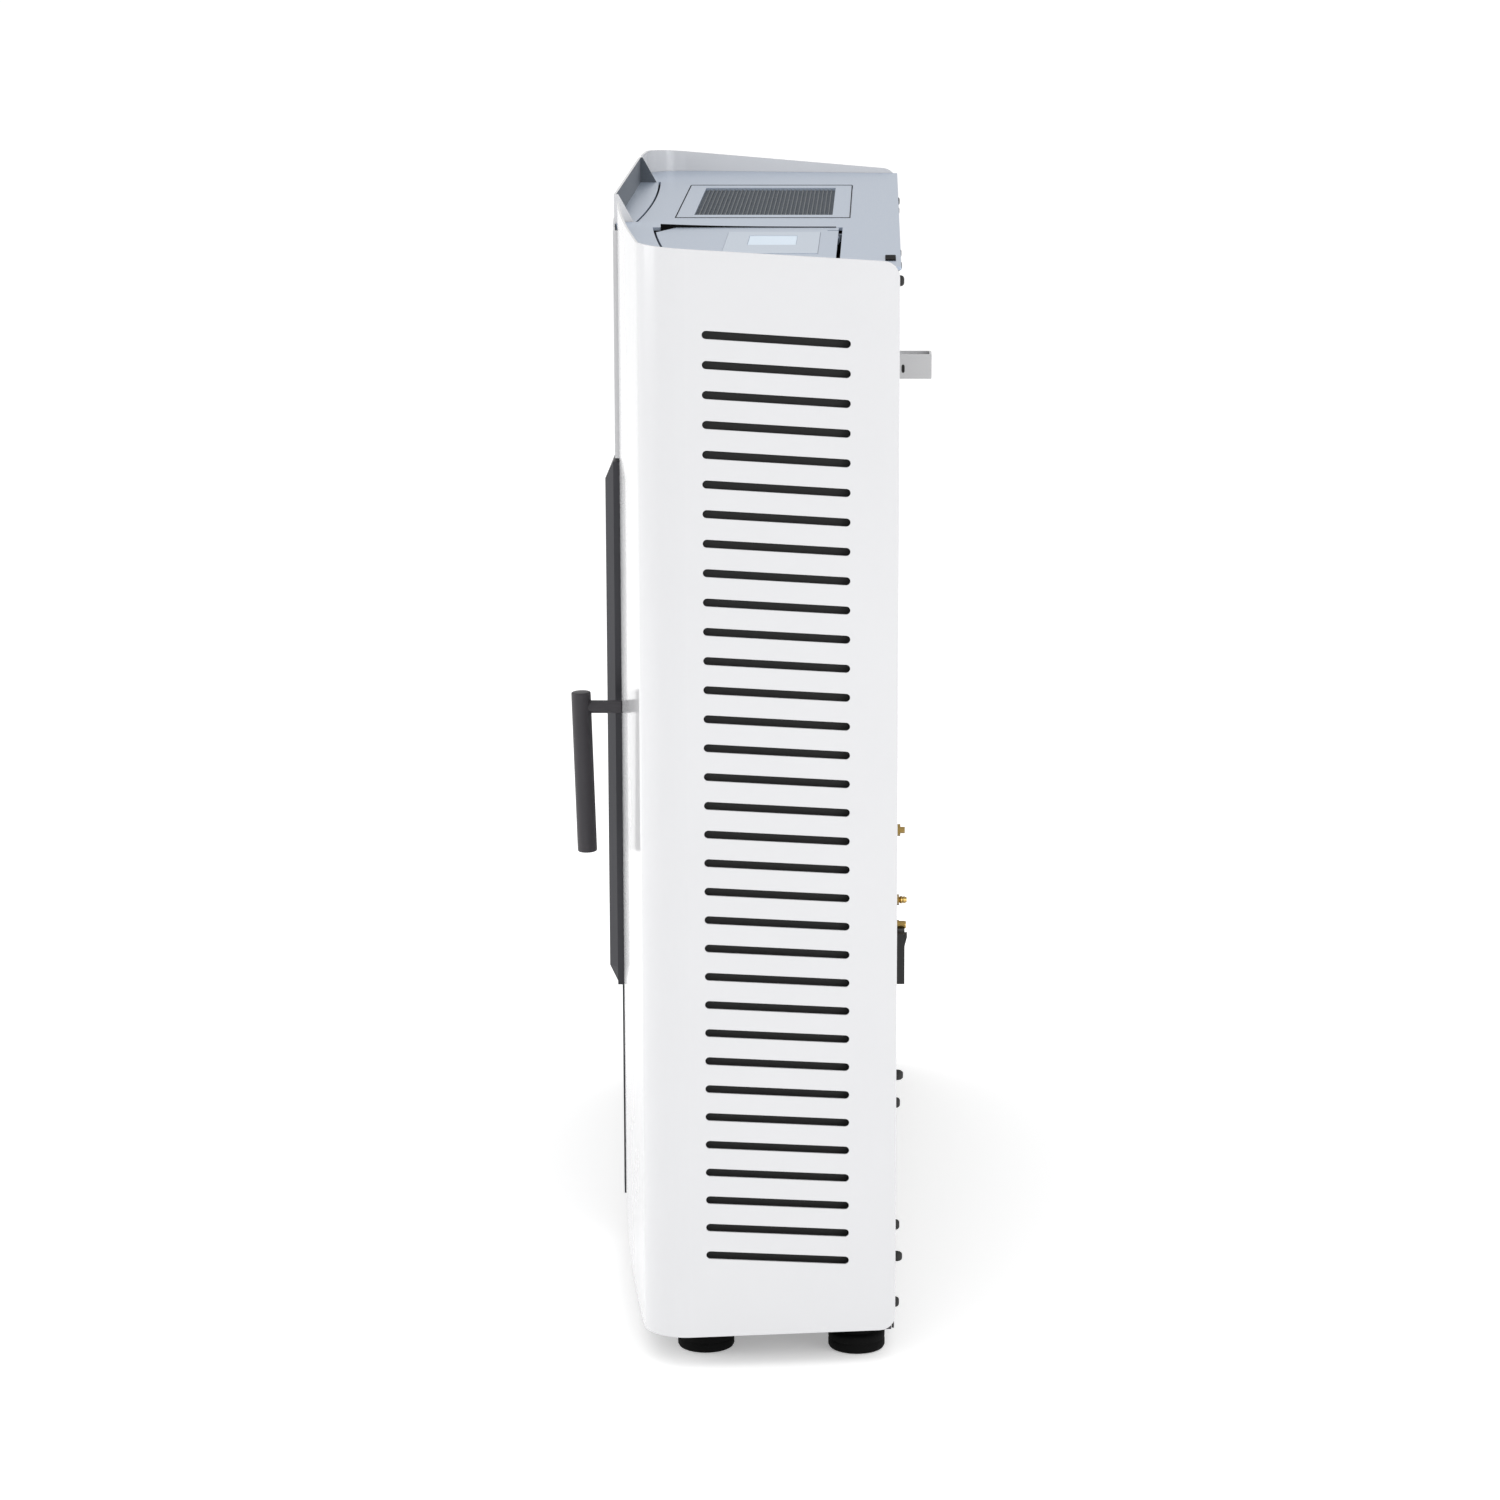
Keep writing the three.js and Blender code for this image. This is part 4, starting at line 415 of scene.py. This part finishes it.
def slot_cutters(side):
    """One long rounded prism through the side wall for each ventilation slot."""
    vertices, faces = [], []
    near = side * (REAR_HALF_WIDTH - CUTTER_INSIDE)
    far = side * (REAR_HALF_WIDTH + CUTTER_OUTSIDE)
    taper = math.cos(SIDE_TAPER)
    run = SLOT_RUN * Vector((-math.cos(SLOT_SLOPE) * taper, math.sin(SLOT_SLOPE)))
    for i in range(SLOT_COUNT):
        rear = Vector((SLOT_REAR_Y * taper, FIRST_SLOT_Z - i * SLOT_PITCH))
        outline = []
        for end, begin in ((rear, -math.pi / 2), (rear + run, math.pi / 2)):
            for k in range(SLOT_END_STEPS + 1):
                turn = begin - SLOT_SLOPE + math.pi * k / SLOT_END_STEPS
                outline.append(end + SLOT_RADIUS * Vector((math.cos(turn), math.sin(turn))))
        base = len(vertices)
        size = len(outline)
        for x in (near, far):
            vertices += [at(x, p.x, p.y) for p in outline]
        faces.append(tuple(base + k for k in range(size)))
        faces.append(tuple(base + size + k for k in reversed(range(size))))
        for k in range(size):
            n = (k + 1) % size
            faces.append((base + k, base + size + k, base + size + n, base + n))
    return vertices, faces


def spindle_hole_cutter():
    """A short rod through the front where the handle's spindle passes."""
    start = at(HANDLE_X, front_y(HANDLE_X) - SPINDLE_HOLE_LEAD, HANDLE_Z)
    profile = [
        (0, 0), (SPINDLE_HOLE_RADIUS, 0),
        (SPINDLE_HOLE_RADIUS, SPINDLE_HOLE_LENGTH), (0, SPINDLE_HOLE_LENGTH),
    ]
    return lathe(profile, axis_frame(start, BACK_AXIS))


def side_panel(name, side):
    """The bent sheet of one side, with its slots and on the right the spindle's hole."""
    end_x = COLUMN_RIGHT + SEAM / 2 if side > 0 else COLUMN_LEFT - SEAM / 2
    outer = wall_path(side, 0, end_x)
    inner = wall_path(side, SHEET, end_x)
    vertices = []
    for outside, inside in zip(outer, inner):
        loss = corner_loss(outside.y)
        for point in (outside, inside):
            vertices.append(at(point.x, point.y, BASE_Z + loss))
            vertices.append(at(point.x, point.y, rim_z(point.y) - loss))
    faces = strip_faces(len(outer))
    obj = piece(name + "_shell", vertices, faces, "white_lacquer", "casing", [name])
    cut_out(obj, *slot_cutters(side))
    if side > 0:
        cut_out(obj, *spindle_hole_cutter())
    smooth(obj, PANEL_EDGE, PANEL_ANGLE)


side_panel("side_panel_right", 1)
side_panel("side_panel_left", -1)


# ---------------------------------------------------------------- dark sheets of painted shade behind the slots, and grille wires

SHADE_SHEET_INSET = 8
SHADE_SHEET_THICKNESS = 1
SHADE_SHEET_REAR_Y = -20
SHADE_SHEET_FRONT_Y = -200
SHADE_SHEET_LOW_Z = 64
SHADE_SHEET_HIGH_Z = 940


def painted_shade_sheet(name, side):
    """A dark sheet behind the slots of one side panel, which paints the shade inside the casing so the
    slots read black.
    """
    vertices = []
    for inset in (SHADE_SHEET_INSET, SHADE_SHEET_INSET + SHADE_SHEET_THICKNESS):
        for y in (SHADE_SHEET_REAR_Y, SHADE_SHEET_FRONT_Y):
            for z in (SHADE_SHEET_LOW_Z, SHADE_SHEET_HIGH_Z):
                vertices.append(at(side * side_x(y, inset), y, z))
    piece(name, vertices, BOX_FACES, "black_steel")


painted_shade_sheet("painted_shade_sheet_right", 1)
painted_shade_sheet("painted_shade_sheet_left", -1)

WIRE_RADIUS = 0.6 * MM
WIRE_PITCH = 4 * MM
WIRE_SIDES = 6
WIRE_ANGLE = 70
WIRES_BELOW_FRAME = 1.2 * MM
GRILLE_LIP = 6 * MM
GRILLE_SIDE_BORDER = 29 * MM
GRILLE_FRONT_BORDER = 16 * MM


def wire(vertices, faces, start, end):
    """Adds one straight wire between two points of the same height."""
    across = (end - start).normalized().cross(Vector((0, 0, 1)))
    base = len(vertices)
    for point in (start, end):
        for k in range(WIRE_SIDES):
            turn = 2 * math.pi * k / WIRE_SIDES
            offset = across * math.cos(turn) + Vector((0, 0, math.sin(turn)))
            vertices.append(point + offset * WIRE_RADIUS)
    far = base + WIRE_SIDES
    for k in range(WIRE_SIDES):
        n = (k + 1) % WIRE_SIDES
        faces.append((base + k, base + n, far + n, far + k))
    faces.append(tuple(base + k for k in reversed(range(WIRE_SIDES))))
    faces.append(tuple(far + k for k in range(WIRE_SIDES)))


def grille_wires():
    """Two crossing layers of fine wire that fill the grille frame's opening near its top."""
    frame_low, frame_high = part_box("grille_frame")
    border = Vector((GRILLE_LIP + GRILLE_SIDE_BORDER, GRILLE_LIP + GRILLE_FRONT_BORDER, 0))
    low = Vector(frame_low) + border
    high = Vector(frame_high) - border
    upper_z = high.z - WIRES_BELOW_FRAME - WIRE_RADIUS
    lower_z = upper_z - 2 * WIRE_RADIUS
    vertices, faces = [], []
    columns = round((high.x - low.x) / WIRE_PITCH)
    rows = round((high.y - low.y) / WIRE_PITCH)
    for i in range(1, columns):
        x = low.x + (high.x - low.x) * i / columns
        wire(vertices, faces, Vector((x, low.y, lower_z)), Vector((x, high.y, lower_z)))
    for i in range(1, rows):
        y = low.y + (high.y - low.y) * i / rows
        wire(vertices, faces, Vector((low.x, y, upper_z)), Vector((high.x, y, upper_z)))
    return piece("grille_wires", vertices, faces, "mesh_wire", "casing", ["grille_mesh"])


smooth(grille_wires(), angle=WIRE_ANGLE)


# ---------------------------------------------------------------- dark strips of painted shade in the gaps, and trim

LID_SHADE_STRIP_GAP = 0.35 * MM
LID_SHADE_STRIP_WIDTH = 1.3 * MM
LID_SHADE_STRIP_DEPTH = 3 * MM
LID_SHADE_STRIP_PROUD = 0.8 * MM
LID_SHADE_STRIP_RISE = 2.4 * MM
LID_SHADE_STRIP_FRONT_GAP = 2 * MM
LID_SHADE_STRIP_REAR_GAP = 4 * MM
LID_SHADE_STRIP_STEPS = 16
LID_SHADE_STRIP_EDGE = 0.2


def lid_gap_shade_strip():
    """A dark strip in the gap along the lid's inner edge, which paints the shade in that gap and stands
    higher towards the front.
    """
    lid_low, lid_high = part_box("hopper_lid")
    lid_side = lid_low[0] - LID_SHADE_STRIP_GAP
    start = lid_low[1] + LID_SHADE_STRIP_FRONT_GAP
    end = lid_high[1] - LID_SHADE_STRIP_REAR_GAP
    vertices = []
    for i in range(LID_SHADE_STRIP_STEPS + 1):
        share = i / LID_SHADE_STRIP_STEPS
        y = start + (end - start) * share
        top = lid_high[2] + LID_SHADE_STRIP_PROUD + LID_SHADE_STRIP_RISE * (1 - share) ** 3
        for x in (lid_side - LID_SHADE_STRIP_WIDTH, lid_side):
            vertices += [Vector((x, y, lid_high[2] - LID_SHADE_STRIP_DEPTH)), Vector((x, y, top))]
    faces = strip_faces(LID_SHADE_STRIP_STEPS + 1)
    smooth(piece("lid_gap_shade_strip", vertices, faces, "rubber"), LID_SHADE_STRIP_EDGE)


def block(name, low, high, slot_name, bevel):
    """A small rectangular piece between two corners in the casing's own millimetres."""
    vertices = [at(x, y, z) for x in (low[0], high[0]) for y in (low[1], high[1])
                for z in (low[2], high[2])]
    smooth(piece(name, vertices, BOX_FACES, slot_name), bevel)


BUFFER_LOW = (374, -12.3, PLATE_TOP_Z - 0.2)
BUFFER_HIGH = (412, -3.4, PLATE_TOP_Z + 1.2)
BUFFER_EDGE = 0.4
# The bracket clip is a small black plate just inside the wall bracket's near cheek, which paints the
# shade seen through its key slot.
KEY_SLOT_SHADE_LOW = (10.4, 3.4, 811)
KEY_SLOT_SHADE_HIGH = (11.8, 7.4, 820)
KEY_SLOT_SHADE_EDGE = 0.3

lid_gap_shade_strip()
block("plate_corner_buffer", BUFFER_LOW, BUFFER_HIGH, "rubber", BUFFER_EDGE)
block("key_slot_shade_plate", KEY_SLOT_SHADE_LOW, KEY_SLOT_SHADE_HIGH, "black_plastic", KEY_SLOT_SHADE_EDGE)

GRILLE_HALF_WIDTH = 172
GRILLE_FRONT_Y = -206
GRILLE_REAR_Y = -45
GRILLE_SHADE_RING_MARGIN = 0.35
GRILLE_SHADE_RING_WIDTH = 0.5
GRILLE_SHADE_RING_DEPTH = 1.5
GRILLE_SHADE_RING_PROUD = 0.45
GRILLE_SHADE_RING_EDGE = 0.15


def grille_gap_shade_ring():
    """A thin dark ring in the gap round the grille frame, which paints the shade in that gap."""
    vertices, faces = [], []
    for inset in (0, GRILLE_SHADE_RING_WIDTH):
        half_width = GRILLE_HALF_WIDTH + GRILLE_SHADE_RING_MARGIN - inset
        left, right = COLUMN_CENTRE - half_width, COLUMN_CENTRE + half_width
        front = GRILLE_FRONT_Y - GRILLE_SHADE_RING_MARGIN + inset
        rear = GRILLE_REAR_Y + GRILLE_SHADE_RING_MARGIN - inset
        for x, y in ((left, front), (right, front), (right, rear), (left, rear)):
            vertices += [at(x, y, PLATE_TOP_Z - GRILLE_SHADE_RING_DEPTH),
                         at(x, y, PLATE_TOP_Z + GRILLE_SHADE_RING_PROUD)]
    for k in range(4):
        a, b = 2 * k, 2 * ((k + 1) % 4)
        faces += [(a, b, b + 1, a + 1), (a + 8, a + 9, b + 9, b + 8)]
        faces += [(a + 1, b + 1, b + 9, a + 9), (a, a + 8, b + 8, b)]
    smooth(piece("grille_gap_shade_ring", vertices, faces, "rubber"), GRILLE_SHADE_RING_EDGE)


grille_gap_shade_ring()

FLAP_END_REACH = 0.2 * MM
FLAP_FLOOR_REACH = 0.5 * MM
STEEP = 0.5
UPWARD = 0.05


def flap_paint_and_shade():
    """The flap is lacquered outside and plain on its floor; the slate inside its wall and cheeks is dark
    paint that also paints the shade inside the scoop.
    """
    flap = nodes["air_flap"]
    low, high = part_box("air_flap")
    flap.data.materials.append(LOOKS["white_lacquer"])
    flap.data.materials.append(LOOKS["slate_metal"])
    for polygon in flap.data.polygons:
        normal, middle = polygon.normal, polygon.center
        at_end = min(middle.x - low[0], high[0] - middle.x) < FLAP_END_REACH
        above = middle.z > PLATE_TOP_Z * MM + FLAP_FLOOR_REACH
        outside = normal.y < -STEEP or (abs(normal.x) > STEEP and at_end)
        if outside or (above and normal.z > UPWARD):
            polygon.material_index = 1
        elif above:
            polygon.material_index = 2


flap_paint_and_shade()


# ---------------------------------------------------------------- handle and feet

TURNED_ANGLE = 50
BAR_RADIUS = 9
BAR_LENGTH = 151
BAR_ABOVE_SPINDLE = 14
BAR_END_SLOPE = 1.4
BAR_LEAN = math.radians(1.7)
SPINDLE_RADIUS = 6
SPINDLE_END_SLOPE = 0.6
GROOVE_START = 39
GROOVE_END = 41.6
GROOVE_DEPTH = 0.6
SOFT_EDGE = 0.4


def handle_bar():
    """The round bar, which hangs from the spindle with its lower end a little nearer the casing."""
    axis = Vector((0, math.sin(BAR_LEAN), -math.cos(BAR_LEAN)))
    top = at(HANDLE_X, front_y(HANDLE_X) - HANDLE_REACH, HANDLE_Z) - axis * BAR_ABOVE_SPINDLE * MM
    round_end = [
        (0, 0), (BAR_RADIUS - BAR_END_SLOPE, 0), (BAR_RADIUS - SOFT_EDGE, SOFT_EDGE),
        (BAR_RADIUS, BAR_END_SLOPE),
    ]
    profile = round_end + [(radius, BAR_LENGTH - height) for radius, height in reversed(round_end)]
    bar = piece("handle_bar_turned", *lathe(profile, axis_frame(top, axis), FINE_SEGMENTS),
                "handle_metal", "handle", ["handle_bar"])
    smooth(bar, angle=TURNED_ANGLE)


def handle_spindle():
    """The spindle, with one groove round it where it passes the casing's front."""
    low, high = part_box("handle_spindle")
    length = (high[1] - low[1]) / MM
    profile = [
        (0, 0), (SPINDLE_RADIUS - SOFT_EDGE, 0), (SPINDLE_RADIUS, SPINDLE_END_SLOPE),
        (SPINDLE_RADIUS, GROOVE_START),
        (SPINDLE_RADIUS - GROOVE_DEPTH, GROOVE_START + SOFT_EDGE),
        (SPINDLE_RADIUS - GROOVE_DEPTH, GROOVE_END - SOFT_EDGE), (SPINDLE_RADIUS, GROOVE_END),
        (SPINDLE_RADIUS, length), (0, length),
    ]
    start = Vector((at(HANDLE_X, 0).x, low[1], HANDLE_Z * MM))
    spindle = piece("handle_spindle_turned", *lathe(profile, axis_frame(start, BACK_AXIS)),
                    "handle_metal", "handle", ["handle_spindle"])
    smooth(spindle, angle=TURNED_ANGLE)


handle_bar()
handle_spindle()

# Radius and height of the sole, its groove, the shoulder, the nut and the stud, from the floor up.
FOOT_PROFILE = [
    (0, 0), (21, 0), (24, 0.8), (25, 2.6), (25, 7.6), (24.2, 8.6), (24.2, 9.6), (25, 10.6),
    (25, 14.4), (23.6, 16.2), (20.6, 17.6), (20, 20), (11.6, 20), (11, 20.6), (11, 28.6),
    (5, 28.7), (5, 51), (0, 51),
]
FOOT_ANGLE = 40
for foot_name in [n for n in nodes if n.startswith("foot_")]:
    low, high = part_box(foot_name)
    middle = Vector(((low[0] + high[0]) / 2, (low[1] + high[1]) / 2, 0))
    turned = lathe(FOOT_PROFILE, Matrix.Translation(middle), FINE_SEGMENTS)
    foot = piece(foot_name + "_turned", *turned, "rubber", "casing", [foot_name])
    smooth(foot, angle=FOOT_ANGLE)


# ---------------------------------------------------------------- rear screws

# Radius and height of the shank, the domed head and its socket, with 0 at the panel's face.
SCREW_PROFILE = [
    (0, -6), (2, -6), (2, 0), (4.4, 0), (4.6, 0.5), (4.6, 1.6), (4.1, 3.0), (3.1, 3.9),
    (2.0, 4.25), (1.8, 4.2), (1.6, 2.8), (0, 2.6),
]
TALL_HEAD = 1.55
TALL_SCREW = [(radius, height * TALL_HEAD if height > 0 else height) for radius, height in SCREW_PROFILE]
TALL_SCREW_COUNT = 2
NODE_SCREW_COUNT = 4
NODE_SCREW_Y = -0.7
PANEL_SCREW_Y = -0.9
PANEL_EDGE_X = 446
# The x and z of the screws that only this scene has.
PANEL_SCREWS = [
    (PANEL_EDGE_X, 50), (PANEL_EDGE_X, 121), (PANEL_EDGE_X, 232), (0, 922), (100, 921),
    (-PANEL_EDGE_X, 920), (-PANEL_EDGE_X, 257), (-PANEL_EDGE_X, 92),
]


def rear_screw(name, origin, profile, stands_for=()):
    """One screw whose head stands out behind the rear panel."""
    turned = lathe(profile, axis_frame(origin, BACK_AXIS), SMALL_SEGMENTS)
    screw = piece(name, *turned, "black_steel", "casing", stands_for)
    smooth(screw, angle=TURNED_ANGLE)


for i in range(1, NODE_SCREW_COUNT + 1):
    node_name = "rear_screw_%d" % i
    low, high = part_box(node_name)
    origin = Vector(((low[0] + high[0]) / 2, at(0, NODE_SCREW_Y).y, (low[2] + high[2]) / 2))
    profile = TALL_SCREW if i <= TALL_SCREW_COUNT else SCREW_PROFILE
    rear_screw(node_name + "_turned", origin, profile, [node_name])
for i, (x, z) in enumerate(PANEL_SCREWS, start=1):
    rear_screw("panel_screw_%d" % i, at(x, PANEL_SCREW_Y, z), SCREW_PROFILE)


# ---------------------------------------------------------------- floor, light and camera

FLOOR_HALF_WIDTH = 30
FLOOR_GLOW = 0.3
WHITE = (1, 1, 1, 1)
SKY_LIGHT = 0.8
SKY_SEEN = 1.0


def white_floor():
    """A wide white floor, which gives off a little light to match the photo's background."""
    mesh = bpy.data.meshes.new("floor")
    reach = FLOOR_HALF_WIDTH
    corners = [(-reach, -reach, 0), (reach, -reach, 0), (reach, reach, 0), (-reach, reach, 0)]
    mesh.from_pydata(corners, [], [(0, 1, 2, 3)])
    floor = bpy.data.objects.new("floor", mesh)
    white = node_material("floor_white", grey(0.93), grey(0.95), (0.85, 0.95), scale=0.6)
    shader = white.node_tree.nodes["Principled BSDF"]
    shader.inputs["Emission Color"].default_value = WHITE
    shader.inputs["Emission Strength"].default_value = FLOOR_GLOW
    mesh.materials.append(white)
    bpy.context.scene.collection.objects.link(floor)


def studio_world():
    """A white sky that the camera sees a little brighter than it lights the part."""
    world = bpy.data.worlds.new("studio")
    world.use_nodes = True
    tree = world.node_tree
    sky = tree.nodes["Background"]
    ray_kind = tree.nodes.new("ShaderNodeLightPath")
    strength = tree.nodes.new("ShaderNodeMapRange")
    strength.inputs["To Min"].default_value = SKY_LIGHT
    strength.inputs["To Max"].default_value = SKY_SEEN
    sky.inputs["Color"].default_value = WHITE
    tree.links.new(ray_kind.outputs["Is Camera Ray"], strength.inputs["Value"])
    tree.links.new(strength.outputs["Result"], sky.inputs["Strength"])
    bpy.context.scene.world = world


def area_light(name, position, target, size, watts):
    """A rectangular light in metres that faces its target."""
    data = bpy.data.lights.new(name, "AREA")
    data.shape = "RECTANGLE"
    data.size, data.size_y = size
    data.energy = watts
    light = bpy.data.objects.new(name, data)
    facing = (Vector(target) - Vector(position)).to_track_quat("-Z", "Y").to_matrix().to_4x4()
    light.matrix_world = Matrix.Translation(position) @ facing
    bpy.context.scene.collection.objects.link(light)


white_floor()
studio_world()
area_light("overhead", position=(0.3, 0.0, 4.0), target=(0, 0, 0), size=(5.0, 5.0), watts=40)
area_light("front_box", position=(0.6, -3.6, 1.6), target=(0, -0.1, 0.6), size=(2.6, 2.2), watts=44)
area_light("side_box", position=(4.2, -0.4, 2.6), target=(0, 0, 0.7), size=(2.4, 2.4), watts=18)
area_light("rear_box", position=(2.6, 3.0, 1.6), target=(0, 0.1, 0.6), size=(2.0, 2.0), watts=44)

# The camera fitted to the photo: its place, its turns in radians and its lens.
CAMERA = at(4032.7, -17.65, 1336.2)
YAW = 0.0302
PITCH = 0.2171
ROLL = -0.0028
LENS = 103.4
SENSOR_WIDTH = 36
VIEW_DISTANCE = 100


def photo_camera():
    """The camera, which looks along -X, turned by its yaw, pitch and roll."""
    level = math.cos(PITCH)
    forward = Vector((-math.cos(YAW) * level, -math.sin(YAW) * level, -math.sin(PITCH)))
    level_right = Vector((-math.sin(YAW), math.cos(YAW), 0))
    level_up = level_right.cross(forward)
    right = math.cos(ROLL) * level_right + math.sin(ROLL) * level_up
    up = -math.sin(ROLL) * level_right + math.cos(ROLL) * level_up
    data = bpy.data.cameras.new("camera")
    data.sensor_width = SENSOR_WIDTH
    data.lens = LENS
    data.clip_end = VIEW_DISTANCE
    camera = bpy.data.objects.new("camera", data)
    turn = Matrix((right, up, -forward)).transposed().to_4x4()
    camera.matrix_world = Matrix.Translation(CAMERA) @ turn
    bpy.context.scene.collection.objects.link(camera)
    bpy.context.scene.camera = camera


photo_camera()
bpy.context.scene.view_settings.view_transform = "Standard"
